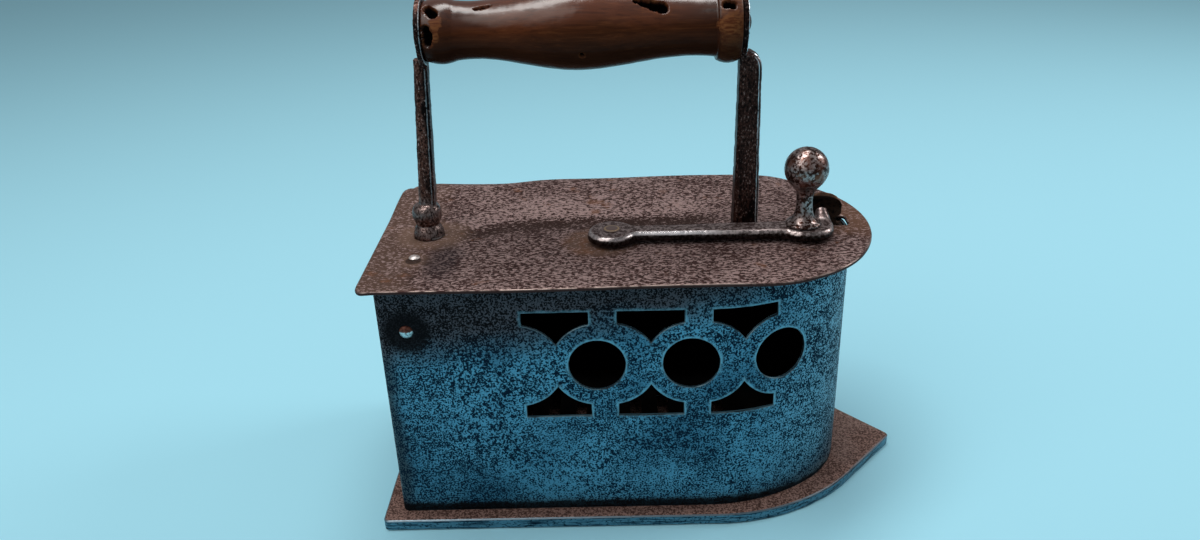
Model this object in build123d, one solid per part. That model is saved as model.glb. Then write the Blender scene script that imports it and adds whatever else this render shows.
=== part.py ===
from build123d import *
from math import acos, cos, hypot, radians, sin, sqrt, tan
import os

# Charcoal box iron. Millimetres, +Z up, +X towards the toe, origin in the middle of the sole's underside.

# Sole plate
sole_length = 210.0
sole_width = 102.0
sole_thickness = 4.8
toe_half_angle = 48.0
toe_shoulder_radius = 75.0
toe_tip_radius = 2.0
sole_corner_radius = 2.5
sole_edge_bevel = 0.5

# Box wall, one strip of sheet bent round the nose with its rear ends folded in
wall_sheet = 1.2
wall_height = 99.3
heel_step = 7.0
side_step = 6.0
nose_step = 25.2
nose_radius = 38.0
nose_blend_angle = 40.0
rear_bend_radius = 2.6
rear_flange_width = 12.0

# Pierced vents, measured along the wall from its rear face and up from the sole
vent_count = 3
vent_pitch = 34.6
vent_first = 64.3
vent_lag = 14.8
vent_line = 65.5
vent_hole_diameter = 20.8
spandrel_width = 24.2
spandrel_outer = 22.1
spandrel_arc_radius = 17.3
vent_cut_depth = 8.0

# Heel plate and the rivets that hold the wall together and down
heel_swing_gap = 0.6
heel_slot_gap = 1.0
heel_slot_floor_gap = 0.35
heel_rivet_count = 3
heel_rivet_end = 16.0
rivet_shank_radius = 1.5
rivet_head_radius = 2.4
rivet_head_rise = 1.2
rivet_tail_radius = 2.3
rivet_tail_rise = 0.9
rivet_clearance = 0.1
foot_tab_width = 12.0
foot_tab_reach = 11.0
foot_tab_inset = 38.0
heel_foot_spacing = 36.0
sole_sink_radius = 3.0
sole_sink_depth = 1.5
sole_rivet_recess = 0.2

# Lid and its hinge
lid_thickness = 1.4
lid_seat_gap = 0.3
lid_heel_overhang = 4.7
lid_side_overhang = 6.5
lid_nose_overhang = 7.7
lid_nose_radius = 56.0
lid_blend_angle = 56.6
lid_corner_radius = 4.0
pin_setback = 10.6
pin_drop = 18.3
pin_radius = 2.2
pin_end_lip = 0.4
pin_end_rise = 1.0
pin_running_clearance = 0.06
bracket_thickness = 2.0
bracket_flange_gap = 1.0
bracket_rear = 5.0
bracket_front = 11.0
bracket_ear_radius = 5.2
bracket_rivet_edge = 7.9
bracket_rivet_lead = 1.5

# Handle posts
rear_post_setback = 19.1
rear_post_offset = 3.5
front_post_setback = 48.2
post_tenon_radius = 2.6
post_tail_radius = 3.8
post_tail_rise = 1.2
rove_radius = 5.6
rove_thickness = 1.2
foot_radius = 6.2
foot_neck_radius = 4.4
foot_neck_height = 5.4
foot_ball_radius = 5.8
foot_ball_height = 9.5
foot_height = 13.4
rear_bar_base = 6.8
rear_bar_top = 5.6
rear_bar_shift = 0.8
post_chamfer = 1.3
front_bar_depth = 8.6
front_bar_width = 8.2
front_bar_flare = 0.7
front_flare_height = 58.0
front_shoulder_radius = 6.0
post_disc_radius = 12.0
post_disc_thickness = 2.4

# Turned wooden grip on its tie rod
grip_height = 78.2
grip_offset = 6.3
rod_radius = 2.5
rod_end_radius = 4.4
rod_end_rise = 1.9
rod_clearance = 0.1
rear_bead_radius = 11.9
rear_bead_length = 11.0
rear_waist_radius = 10.3
rear_waist_inset = 16.5
belly_radius = 15.2
belly_shift = -5.24
front_waist_radius = 11.3
front_waist_inset = 15.0
front_step_radius = 11.9
front_bead_radius = 14.2
front_bead_length = 8.6
bead_edge_drop = 1.2

# Latch: hooded keeper on the nose, lever on the lid
keeper_width = 10.4
keeper_thickness = 1.8
keeper_gap = 0.05
keeper_leg = 26.0
keeper_rivet_low = 8.0
keeper_rivet_high = 18.0
hood_setback = 1.9
hood_length = 12.8
hood_rise = 13.6
hood_reach = 7.6
hood_sweep = 66.0
hood_corner_radius = 5.0
hood_foot_depth = 2.6
slot_side_gap = 0.8
slot_rear_gap = 1.4
slot_front_gap = 3.2
slot_corner_radius = 1.5
latch_pivot_offset = 13.4
latch_knob_offset = 13.5
latch_reach = 72.0
lever_thickness = 4.0
lever_eye_radius = 9.3
lever_eye_bar = 3.9
lever_seat_bar = 5.4
lever_seat_radius = 8.3
lever_seat_stretch = 3.4
lever_web_radius = 2.5
lever_edge_radius = 2.4
washer_radius = 6.5
washer_thickness = 1.2
latch_shank_radius = 2.6
latch_head_radius = 3.7
latch_head_rise = 0.8
latch_running_clearance = 0.06
tongue_width = 6.2
tongue_corner_radius = 1.2
tongue_front_gap = 5.0
tongue_tip_gap = 0.7
tongue_ramp = 6.8
tongue_top_gap = 4.2
knob_foot_radius = 6.7
knob_foot_rim = 1.2
knob_foot_slope = 0.25
knob_stem_radius = 3.1
knob_stem_height = 10.4
knob_neck_angle = 42.0
knob_ball_radius = 8.2
knob_height = 30.2
knob_tenon_radius = 2.6

# Fire grate loose on the sole
grate_thickness = 1.6
grate_side_gap = 2.0
grate_rise = 8.0
grate_slot_width = 5.0
grate_slot_end_gap = 6.0
grate_slot_pitch = 12.0
grate_slot_margin = 22.0
grate_foot_radius = 3.0
grate_foot_tenon = 1.8
grate_foot_margin = 7.8

# Cutters run past the stack that they open, to this many times its thickness
over_cut = 3.0

# Places worked out from the sizes above
heel_x = -sole_length / 2
toe_x = sole_length / 2
wall_rear = heel_x + heel_step
wall_nose = toe_x - nose_step
wall_half = sole_width / 2 - side_step
wall_base = sole_thickness
wall_top = wall_base + wall_height
lid_under = wall_top + lid_seat_gap
lid_top = lid_under + lid_thickness
lid_rear = wall_rear - lid_heel_overhang
lid_nose = wall_nose + lid_nose_overhang
lid_half = wall_half + lid_side_overhang
pin_x = wall_rear + pin_setback
pin_z = lid_under - pin_drop
rear_post_x = lid_rear + rear_post_setback
rear_post_y = -rear_post_offset
front_post_x = lid_nose - front_post_setback
grip_rear = rear_post_x + grip_offset
grip_front = front_post_x - front_bar_depth / 2
grip_length = grip_front - grip_rear
grip_z = lid_top + grip_height
bracket_under = lid_under - bracket_thickness
bracket_half_width = wall_half - rear_flange_width - bracket_flange_gap
bracket_ear_height = bracket_under - pin_z
bracket_swing = hypot(bracket_rear, bracket_ear_height)
post_tail_swing = bracket_ear_height - rove_thickness - post_tail_rise
heel_reach = pin_setback - wall_sheet
heel_top = pin_z + sqrt((post_tail_swing - heel_swing_gap) ** 2 - heel_reach**2)
heel_slot_floor = pin_z - bracket_swing - heel_slot_floor_gap
heel_plate_front = wall_rear + 2 * wall_sheet
inner_nose_radius = nose_radius - wall_sheet
keeper_sag = inner_nose_radius - sqrt(inner_nose_radius**2 - (keeper_width / 2) ** 2)
keeper_front = wall_nose - wall_sheet - keeper_sag - keeper_gap
hood_front = keeper_front - hood_setback
hood_rear = hood_front - hood_length
hood_top = lid_top + hood_rise
hood_back_y = keeper_width / 2
hood_tip_y = hood_back_y - hood_reach
tongue_front = hood_front - tongue_front_gap
tongue_x = tongue_front - tongue_width / 2
tongue_tip_y = hood_tip_y - tongue_tip_gap
knob_x = tongue_front - lever_seat_stretch - lever_seat_radius
pivot_x = knob_x - latch_reach
pivot_y = -latch_pivot_offset
knob_y = -latch_knob_offset
lever_base = lid_top + washer_thickness
lever_top = lever_base + lever_thickness
tongue_lift = hood_top - keeper_thickness - tongue_top_gap - lever_top
grate_base = sole_thickness + grate_rise
grate_foot_side = wall_half - wall_sheet - grate_side_gap - grate_foot_margin
grate_slot_length = 2 * (grate_foot_side - grate_slot_end_gap)
bracket_rivet_x = pin_x + bracket_rivet_lead


def shoulder_radius(half_width, radius, blend):
    """Radius of the arc that turns by the blend angle from a straight side into a nose arc."""
    return (half_width - radius * cos(radians(blend))) / (1 - cos(radians(blend)))


def nosed_face(rear, half_width, nose, radius, blend, inset=0.0):
    """Flat outline with a straight rear and sides, a shoulder arc each side and a nose arc."""
    shoulder = shoulder_radius(half_width, radius, blend)
    nose_centre = nose - radius
    side_end = nose_centre - (shoulder - radius) * sin(radians(blend))
    side = half_width - inset
    offset = shoulder - half_width
    tip = radius - inset
    arc_x = nose_centre + tip * sin(radians(blend))
    arc_y = tip * cos(radians(blend))
    return make_face(
        [
            Line((rear + inset, side), (rear + inset, -side)),
            Line((rear + inset, -side), (side_end, -side)),
            CenterArc((side_end, offset), shoulder - inset, -90, blend),
            ThreePointArc((arc_x, -arc_y), (nose_centre + tip, 0), (arc_x, arc_y)),
            CenterArc((side_end, -offset), shoulder - inset, 90 - blend, blend),
            Line((side_end, side), (rear + inset, side)),
        ]
    )


def wall_face(inset=0.0):
    """Plan of the box wall, drawn in from its outer face by the inset."""
    return nosed_face(wall_rear, wall_half, wall_nose, nose_radius, nose_blend_angle, inset)


def rear_rounded(face, radius):
    """The same plan with its two rear corners rounded."""
    return fillet(face.vertices().group_by(Axis.X)[0], radius)


def wall_plane(along, height):
    """Plane on the near wall's outer face, its x axis along the wall and its z axis outwards."""
    blend = radians(nose_blend_angle)
    shoulder = shoulder_radius(wall_half, nose_radius, nose_blend_angle)
    nose_centre = wall_nose - nose_radius
    side_end = nose_centre - (shoulder - nose_radius) * sin(blend)
    past_side = along - (side_end - wall_rear)
    past_shoulder = past_side - shoulder * blend
    if past_side <= 0:
        turn = 0.0
        point = (wall_rear + along, -wall_half)
    elif past_shoulder <= 0:
        turn = past_side / shoulder
        point = (side_end + shoulder * sin(turn), shoulder - wall_half - shoulder * cos(turn))
    else:
        turn = blend + past_shoulder / nose_radius
        point = (nose_centre + nose_radius * sin(turn), -nose_radius * cos(turn))
    return Plane(
        origin=(*point, wall_base + height),
        x_dir=(cos(turn), sin(turn), 0),
        z_dir=(sin(turn), -cos(turn), 0),
    )


def turned(*edges):
    """Solid of revolution about Z from a closed outline drawn as (radius, height)."""
    return revolve(Plane.XZ * make_face(edges), Axis.Z)


def rivet(shank, grip, head, head_rise, tail, tail_rise):
    """Rivet along Z: domed head above z = 0, then the clamped stack, then the peened tail."""
    return turned(
        Line((0, -grip - tail_rise), (0, head_rise)),
        TangentArc((0, head_rise), (head, 0), tangent=(1, 0)),
        Line((head, 0), (shank, 0)),
        Line((shank, 0), (shank, -grip)),
        Line((shank, -grip), (tail, -grip)),
        TangentArc((0, -grip - tail_rise), (tail, -grip), tangent=(1, 0)),
    )


def sheet_rivet(grip):
    """One of the small rivets that join the sheet pieces."""
    return rivet(
        rivet_shank_radius, grip, rivet_head_radius, rivet_head_rise, rivet_tail_radius, rivet_tail_rise
    )


def bar_hole(radius, stack):
    """Round cutter along Z through a stack that starts or ends at the origin."""
    return Cylinder(radius, over_cut * stack)


def foot_places():
    """Centre of each foot tab of the wall, with the turn that points the tab inwards from +X."""
    side = wall_half - wall_sheet
    nose_centre = wall_nose - nose_radius
    places = [(wall_nose - wall_sheet, 0, 180)]
    for x in (wall_rear + foot_tab_inset, nose_centre - foot_tab_inset):
        places.append((x, -side, 90))
        places.append((x, side, -90))
    return places


def heel_foot_places():
    """The same for the two tabs at the foot of the heel plate."""
    return [(heel_plate_front, side * heel_foot_spacing / 2, 0) for side in (-1, 1)]


def foot_tab(place):
    """Tab turned in from a wall's lower edge, flat on the sole, with its rivet hole."""
    x, y, turn = place
    tab = Pos(foot_tab_reach / 2, 0, 0) * Box(foot_tab_reach + wall_sheet, foot_tab_width, wall_sheet)
    tab -= Pos(foot_tab_reach / 2, 0, 0) * bar_hole(rivet_shank_radius + rivet_clearance, wall_sheet)
    return Pos(x, y, wall_base + wall_sheet / 2) * Rot(0, 0, turn) * tab


def foot_rivet_centre(place):
    """Point on the sole's underside below a foot tab's rivet."""
    x, y, turn = place
    reach = foot_tab_reach / 2
    return (x + reach * cos(radians(turn)), y + reach * sin(radians(turn)), 0)


def make_sole_plate():
    half = sole_width / 2
    turn = radians(toe_half_angle)
    sharp_toe = toe_x + toe_tip_radius * (1 / sin(turn) - 1)
    side_end = sharp_toe - half / tan(turn) - toe_shoulder_radius * tan(turn / 2)
    offset = toe_shoulder_radius - half
    line_start = (
        side_end + toe_shoulder_radius * sin(turn),
        offset - toe_shoulder_radius * cos(turn),
    )
    outline = make_face(
        [
            Line((heel_x, half), (heel_x, -half)),
            Line((heel_x, -half), (side_end, -half)),
            CenterArc((side_end, offset), toe_shoulder_radius, -90, toe_half_angle),
            Line(line_start, (sharp_toe, 0)),
            Line((sharp_toe, 0), (line_start[0], -line_start[1])),
            CenterArc((side_end, -offset), toe_shoulder_radius, 90 - toe_half_angle, toe_half_angle),
            Line((side_end, half), (heel_x, half)),
        ]
    )
    outline = rear_rounded(outline, sole_corner_radius)
    outline = fillet(outline.vertices().group_by(Axis.X)[-1], toe_tip_radius)
    plate = extrude(outline, sole_thickness)
    rims = plate.edges().group_by(Axis.Z)
    plate = chamfer(rims[0] + rims[-1], sole_edge_bevel)
    for place in foot_places() + heel_foot_places():
        x, y, z = foot_rivet_centre(place)
        plate -= Pos(x, y, z) * sole_rivet_solid(rivet_clearance, 0.0, 0.0)
    return plate


def sole_rivet_solid(clearance, recess, head_rise):
    """Rivet from below: a flush countersunk end in the sole, its shank, and a low head on the tab."""
    shank = rivet_shank_radius + clearance
    taper = (sole_sink_radius - rivet_shank_radius) / sole_sink_depth
    sink = sole_sink_radius + clearance - taper * recess
    stack = sole_thickness + wall_sheet
    edges = [
        Line((0, recess), (sink, recess)),
        Line((sink, recess), (shank, sole_sink_depth)),
        Line((shank, sole_sink_depth), (shank, stack)),
    ]
    if head_rise:
        edges.append(Line((shank, stack), (rivet_tail_radius, stack)))
        edges.append(TangentArc((0, stack + head_rise), (rivet_tail_radius, stack), tangent=(1, 0)))
    else:
        edges.append(Line((shank, stack), (0, stack)))
    edges.append(Line((0, stack + head_rise), (0, recess)))
    return turned(*edges)


def make_sole_rivets():
    places = foot_places() + heel_foot_places()
    one = sole_rivet_solid(0.0, sole_rivet_recess, rivet_tail_rise)
    return [Pos(*foot_rivet_centre(place)) * one for place in places]


def spandrel(sign):
    """Three-cornered vent: a straight outer edge and two hollow sides that meet in a cusp."""
    half = spandrel_width / 2
    corner = sqrt(spandrel_arc_radius**2 - (vent_lag - half) ** 2)
    cusp = sqrt(spandrel_arc_radius**2 - vent_lag**2)
    corner_turn = acos((vent_lag - half) / spandrel_arc_radius)
    cusp_turn = acos(vent_lag / spandrel_arc_radius)
    middle_turn = (corner_turn + cusp_turn) / 2
    middle_u = vent_lag - spandrel_arc_radius * cos(middle_turn)
    middle_v = spandrel_arc_radius * sin(middle_turn)
    return make_face(
        [
            Line((-half, sign * spandrel_outer), (half, sign * spandrel_outer)),
            Line((half, sign * spandrel_outer), (half, sign * corner)),
            ThreePointArc((half, sign * corner), (middle_u, sign * middle_v), (0, sign * cusp)),
            ThreePointArc((0, sign * cusp), (-middle_u, sign * middle_v), (-half, sign * corner)),
            Line((-half, sign * corner), (-half, sign * spandrel_outer)),
        ]
    )


def vent_cutters():
    """Cutters for one side, each square to the wall where it stands, and their mirror images."""
    cutters = []
    for index in range(vent_count):
        along = vent_first + index * vent_pitch
        for face, shift in (
            (spandrel(1), 0.0),
            (spandrel(-1), 0.0),
            (Circle(vent_hole_diameter / 2), vent_lag),
        ):
            cutter = extrude(wall_plane(along + shift, vent_line) * face, vent_cut_depth / 2, both=True)
            cutters += [cutter, mirror(cutter, Plane.XZ)]
    return cutters


def keeper_rivet_heights():
    return [wall_top - keeper_rivet_low, wall_top - keeper_rivet_high]


def heel_rivet_places():
    """Points on the rear face of the folded flanges."""
    low = wall_base + heel_rivet_end
    high = heel_top - heel_rivet_end
    step = (high - low) / (heel_rivet_count - 1)
    y = wall_half - rear_flange_width / 2 - wall_sheet / 2
    return [(wall_rear, side * y, low + step * row) for side in (-1, 1) for row in range(heel_rivet_count)]


def make_body_shell():
    bent = rear_rounded(wall_face(), rear_bend_radius)
    hollow = rear_rounded(wall_face(wall_sheet), rear_bend_radius - wall_sheet)
    opening_half = wall_half - rear_flange_width
    opening = Pos(wall_rear, 0) * Rectangle(over_cut * wall_sheet, 2 * opening_half)
    shell = Pos(0, 0, wall_base) * extrude(bent - hollow - opening, wall_height)
    hole = Rot(0, -90, 0) * bar_hole(rivet_shank_radius + rivet_clearance, wall_sheet)
    nose_points = [(wall_nose, 0, z) for z in keeper_rivet_heights()]
    shell -= [Pos(*point) * hole for point in nose_points + heel_rivet_places()]
    for place in foot_places():
        shell += foot_tab(place)
    shell -= vent_cutters()
    # rear top corners follow the swing of the lid about its pin
    across = Pos(pin_x, 0, pin_z) * Rot(90, 0, 0)
    corner = Pos(pin_x, 0, pin_z) * Box(
        over_cut * pin_setback,
        over_cut * wall_half,
        over_cut * pin_drop,
        align=(Align.MAX, Align.CENTER, Align.MIN),
    )
    shell -= corner - across * bar_hole(pin_drop - lid_seat_gap, wall_half)
    flange_clear = 2 * (wall_half - rear_bend_radius)
    shell -= Pos(wall_rear, 0, heel_top) * Box(
        over_cut * wall_sheet, flange_clear, wall_height, align=(Align.CENTER, Align.CENTER, Align.MIN)
    )
    return shell - across * bar_hole(pin_radius + rivet_clearance, wall_half)


def make_heel_plate():
    half = wall_half - rear_bend_radius
    plate = Pos(wall_rear + wall_sheet, 0, wall_base) * Box(
        wall_sheet, 2 * half, heel_top - wall_base, align=(Align.MIN, Align.CENTER, Align.MIN)
    )
    for place in heel_foot_places():
        plate += foot_tab(place)
    # slots that the hinge ears swing through
    slot = Box(
        over_cut * wall_sheet,
        bracket_thickness + 2 * heel_slot_gap,
        wall_height,
        align=(Align.CENTER, Align.CENTER, Align.MIN),
    )
    for side in (-1, 1):
        y = side * (bracket_half_width - bracket_thickness / 2)
        plate -= Pos(wall_rear + wall_sheet, y, heel_slot_floor) * slot
    hole = Rot(0, 90, 0) * bar_hole(rivet_shank_radius + rivet_clearance, 2 * wall_sheet)
    for place in heel_rivet_places():
        plate -= Pos(*place) * hole
    return plate


def make_heel_rivets():
    one = Rot(0, -90, 0) * sheet_rivet(2 * wall_sheet)
    return [Pos(*place) * one for place in heel_rivet_places()]


def make_hinge_pin():
    """Pin right across the box, its ends peened over outside the walls."""
    length = 2 * wall_half
    end = pin_radius + pin_end_lip
    pin = rivet(pin_radius, length, end, pin_end_rise, end, pin_end_rise)
    return Pos(pin_x, -wall_half, pin_z) * Rot(90, 0, 0) * pin


def make_fire_grate():
    inset = wall_sheet + grate_side_gap
    rear = heel_plate_front - wall_rear - wall_sheet
    plan = wall_face(inset) - Pos(wall_rear + inset, 0) * Rectangle(2 * rear, sole_width)
    first = wall_rear + grate_slot_margin
    last = wall_nose - nose_radius
    count = int((last - first) / grate_slot_pitch) + 1
    for index in range(count):
        slot = Rot(0, 0, 90) * SlotOverall(grate_slot_length, grate_slot_width)
        plan -= Pos(first + index * grate_slot_pitch, 0) * slot
    for x, y in grate_foot_places():
        plan -= Pos(x, y) * Circle(grate_foot_tenon + rivet_clearance)
    return Pos(0, 0, grate_base) * extrude(plan, grate_thickness)


def grate_foot_places():
    """Four feet under the corners of the slotted area and one under the nose."""
    rear = wall_rear + grate_slot_margin
    front = wall_nose - nose_radius
    corners = [(x, side * grate_foot_side) for x in (rear, front) for side in (-1, 1)]
    return corners + [(front + nose_radius / 2, 0)]


def make_grate_feet():
    top = grate_rise + grate_thickness
    foot = turned(
        Line((0, 0), (grate_foot_radius, 0)),
        Line((grate_foot_radius, 0), (grate_foot_radius, grate_rise)),
        Line((grate_foot_radius, grate_rise), (grate_foot_tenon, grate_rise)),
        Line((grate_foot_tenon, grate_rise), (grate_foot_tenon, top)),
        Line((grate_foot_tenon, top), (rivet_tail_radius, top)),
        TangentArc((0, top + rivet_tail_rise), (rivet_tail_radius, top), tangent=(1, 0)),
        Line((0, top + rivet_tail_rise), (0, 0)),
    )
    return [Pos(x, y, sole_thickness) * foot for x, y in grate_foot_places()]


def make_keeper_hood():
    """Plate that rises through the lid at the leg's far edge and curls over towards the tongue."""
    foot_z = wall_top - hood_foot_depth
    outer = hood_reach / (1 - cos(radians(hood_sweep)))
    inner = outer - keeper_thickness
    centre_y = hood_back_y - outer
    centre_z = hood_top - outer * sin(radians(hood_sweep))
    tip = (cos(radians(hood_sweep)), sin(radians(hood_sweep)))
    curl = make_face(
        [
            Line((hood_back_y, foot_z), (hood_back_y, centre_z)),
            CenterArc((centre_y, centre_z), outer, 0, hood_sweep),
            Line(
                (centre_y + outer * tip[0], centre_z + outer * tip[1]),
                (centre_y + inner * tip[0], centre_z + inner * tip[1]),
            ),
            CenterArc((centre_y, centre_z), inner, 0, hood_sweep),
            Line((centre_y + inner, centre_z), (centre_y + inner, foot_z)),
            Line((centre_y + inner, foot_z), (hood_back_y, foot_z)),
        ]
    )
    sheet = Pos(hood_rear, 0, 0) * extrude(Plane.YZ * curl, keeper_front - hood_rear)
    side = make_face(
        Polyline(
            (hood_rear, foot_z),
            (keeper_front, foot_z),
            (keeper_front, wall_top),
            (hood_front, wall_top),
            (hood_front, hood_top),
            (hood_rear, hood_top),
            close=True,
        )
    )
    side = fillet(side.vertices().group_by(Axis.Y)[-1], hood_corner_radius)
    return sheet & extrude(Plane.XZ * side, keeper_width, both=True)


def make_latch_keeper():
    """Leg riveted inside the nose, with its far edge bent into a hood over the tongue's path."""
    leg = Pos(keeper_front, 0, wall_top) * Box(
        keeper_thickness, keeper_width, keeper_leg, align=(Align.MAX, Align.CENTER, Align.MAX)
    )
    keeper = leg + make_keeper_hood()
    hole = Rot(0, 90, 0) * bar_hole(rivet_shank_radius + rivet_clearance, keeper_thickness)
    for z in keeper_rivet_heights():
        keeper -= Pos(keeper_front, 0, z) * hole
    return keeper


def make_keeper_rivets():
    grip = wall_nose - keeper_front + keeper_thickness
    one = Rot(0, 90, 0) * sheet_rivet(grip)
    return [Pos(wall_nose, 0, z) * one for z in keeper_rivet_heights()]


def bracket_rivet_places():
    half = bracket_half_width - bracket_rivet_edge
    return [(bracket_rivet_x, -half), (bracket_rivet_x, half)]


def make_lid_plate():
    outline = nosed_face(lid_rear, lid_half, lid_nose, lid_nose_radius, lid_blend_angle)
    outline = rear_rounded(outline, lid_corner_radius)
    slot_rear = hood_rear - slot_rear_gap
    slot_front = hood_front + slot_front_gap
    slot_width = hood_reach + 2 * slot_side_gap
    outline -= Pos((slot_rear + slot_front) / 2, (hood_tip_y + hood_back_y) / 2) * RectangleRounded(
        slot_front - slot_rear, slot_width, slot_corner_radius
    )
    for x, y in ((rear_post_x, rear_post_y), (front_post_x, 0)):
        outline -= Pos(x, y) * Circle(post_tenon_radius + rivet_clearance)
    for x, y in bracket_rivet_places():
        outline -= Pos(x, y) * Circle(rivet_shank_radius + rivet_clearance)
    outline -= Pos(pivot_x, pivot_y) * Circle(latch_shank_radius + rivet_clearance)
    return Pos(0, 0, lid_under) * extrude(outline, lid_thickness)


def make_hinge_bracket():
    """Strip riveted under the lid, both ends turned down into ears that ride on the pin."""
    strip = Pos(pin_x - bracket_rear, 0, bracket_under) * Box(
        bracket_rear + bracket_front,
        2 * bracket_half_width,
        bracket_thickness,
        align=(Align.MIN, Align.CENTER, Align.MIN),
    )
    ear_side = make_face(
        [
            Line((-bracket_rear, bracket_ear_height), (bracket_front, bracket_ear_height)),
            Line((bracket_front, bracket_ear_height), (bracket_ear_radius, 0)),
            CenterArc((0, 0), bracket_ear_radius, 0, -180),
            Line((-bracket_ear_radius, 0), (-bracket_rear, bracket_ear_height)),
        ]
    )
    ear_side -= Circle(pin_radius + pin_running_clearance)
    ear = Pos(pin_x, 0, pin_z) * extrude(Plane.XZ * ear_side, bracket_thickness)
    near = Pos(0, -bracket_half_width + bracket_thickness, 0) * ear
    bracket = strip + near + mirror(near, Plane.XZ)
    for x, y in bracket_rivet_places():
        bracket -= Pos(x, y, lid_under) * bar_hole(rivet_shank_radius + rivet_clearance, bracket_thickness)
    bracket -= Pos(rear_post_x, rear_post_y, lid_under) * bar_hole(
        post_tenon_radius + rivet_clearance, bracket_thickness
    )
    return bracket


def make_hinge_rivets():
    one = sheet_rivet(lid_thickness + bracket_thickness)
    return [Pos(x, y, lid_top) * one for x, y in bracket_rivet_places()]


def post_tenon(stack):
    """Tenon below a post, through the stack under it and peened over, from the lid's top down."""
    return turned(
        Line((0, foot_neck_height / 2), (post_tenon_radius, foot_neck_height / 2)),
        Line((post_tenon_radius, foot_neck_height / 2), (post_tenon_radius, -stack)),
        Line((post_tenon_radius, -stack), (post_tail_radius, -stack)),
        TangentArc((0, -stack - post_tail_rise), (post_tail_radius, -stack), tangent=(1, 0)),
        Line((0, -stack - post_tail_rise), (0, foot_neck_height / 2)),
    )


def post_disc(start):
    """Thin round plate against the grip's end, from start towards +X, with the rod's hole."""
    disc = Cylinder(post_disc_radius, post_disc_thickness, align=(Align.CENTER, Align.CENTER, Align.MIN))
    disc -= bar_hole(rod_radius + rod_clearance, post_disc_thickness)
    return Pos(start, 0, grip_z) * Rot(0, 90, 0) * disc


def make_rear_post():
    """Turned foot off the lid's middle, square bar that leans to the grip, and the plate at its head."""
    foot = turned(
        Line((0, 0), (foot_radius, 0)),
        TangentArc((foot_radius, 0), (foot_neck_radius, foot_neck_height), tangent=(0, 1)),
        ThreePointArc(
            (foot_neck_radius, foot_neck_height),
            (foot_ball_radius, foot_ball_height),
            (foot_neck_radius, foot_height),
        ),
        Line((foot_neck_radius, foot_height), (0, foot_height)),
        Line((0, foot_height), (0, 0)),
    )
    bar_start = foot_height - post_chamfer
    bar_end = grip_height - post_disc_radius + post_disc_thickness
    base_centre = rear_post_x + rear_bar_shift
    top_centre = grip_rear - rear_bar_top / 2
    sections = []
    for x, y, size, height in (
        (base_centre, rear_post_y, rear_bar_base, bar_start),
        (top_centre, 0, rear_bar_top, bar_end),
    ):
        square = Rectangle(size, size)
        sections.append(Pos(x, y, lid_top + height) * chamfer(square.vertices(), post_chamfer))
    foot_place = Pos(rear_post_x, rear_post_y, lid_top)
    stack = lid_thickness + bracket_thickness + rove_thickness
    post = foot_place * foot + loft(sections) + foot_place * post_tenon(stack)
    post += post_disc(grip_rear - post_disc_thickness)
    return post


def make_front_post():
    """Bar that spreads towards its base, with a rounded outer shoulder below the plate at its head."""
    inner = grip_front
    outer = grip_front + front_bar_depth
    shoulder_z = grip_z - post_disc_radius + post_disc_thickness
    side = make_face(
        [
            Line((inner, lid_top), (outer, lid_top)),
            Line((outer, lid_top), (outer, shoulder_z - front_shoulder_radius)),
            CenterArc(
                (outer - front_shoulder_radius, shoulder_z - front_shoulder_radius),
                front_shoulder_radius,
                0,
                90,
            ),
            Line((outer - front_shoulder_radius, shoulder_z), (inner, shoulder_z)),
            Line((inner, shoulder_z), (inner, lid_top)),
        ]
    )
    bar = extrude(Plane.XZ * side, front_bar_width / 2, both=True)
    bar = chamfer(bar.edges().filter_by(Axis.Z), post_chamfer)
    base = Pos(front_post_x, 0, lid_top) * Rectangle(
        front_bar_depth + 2 * front_bar_flare, front_bar_width + 2 * front_bar_flare
    )
    neck = Pos(front_post_x, 0, lid_top + front_flare_height) * Rectangle(front_bar_depth, front_bar_width)
    flare = loft([chamfer(base.vertices(), post_chamfer), chamfer(neck.vertices(), post_chamfer)])
    post = bar + flare + post_disc(grip_front)
    stack = lid_thickness + rove_thickness
    return post + Pos(front_post_x, 0, lid_top) * post_tenon(stack)


def rove(x, y, under):
    """Small washer that a post's tenon is peened over."""
    ring = Cylinder(rove_radius, rove_thickness, align=(Align.CENTER, Align.CENTER, Align.MAX))
    ring -= bar_hole(post_tenon_radius + rivet_clearance, rove_thickness)
    return Pos(x, y, under) * ring


def make_handle_grip():
    """Turned grip: a bead at each end, two waists and a belly, bored for the rod."""
    bore = rod_radius + rod_clearance
    rear_end = rear_bead_radius - bead_edge_drop
    front_end = front_bead_radius - bead_edge_drop
    front_step = grip_length - front_bead_length
    rear_step = (rear_bead_length, rear_end)
    belly = (rear_waist_inset + grip_length - front_waist_inset) / 2 + belly_shift
    profile = make_face(
        [
            Line((0, bore), (0, rear_end)),
            ThreePointArc((0, rear_end), (rear_bead_length / 2, rear_bead_radius), rear_step),
            Spline(
                rear_step,
                (rear_waist_inset, rear_waist_radius),
                (belly, belly_radius),
                (grip_length - front_waist_inset, front_waist_radius),
                (front_step, front_step_radius),
            ),
            Line((front_step, front_step_radius), (front_step, front_end)),
            ThreePointArc(
                (front_step, front_end),
                (grip_length - front_bead_length / 2, front_bead_radius),
                (grip_length, front_end),
            ),
            Line((grip_length, front_end), (grip_length, bore)),
            Line((grip_length, bore), (0, bore)),
        ]
    )
    grip = revolve(Plane.XY * profile, Axis.X)
    return Pos(grip_rear, 0, grip_z) * grip


def make_handle_rod():
    """Tie rod through both plates and the grip, peened into a dome at each end."""
    length = grip_length + 2 * post_disc_thickness
    rod = rivet(rod_radius, length, rod_end_radius, rod_end_rise, rod_end_radius, rod_end_rise)
    return Pos(grip_front + post_disc_thickness, 0, grip_z) * Rot(0, 90, 0) * rod


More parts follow.
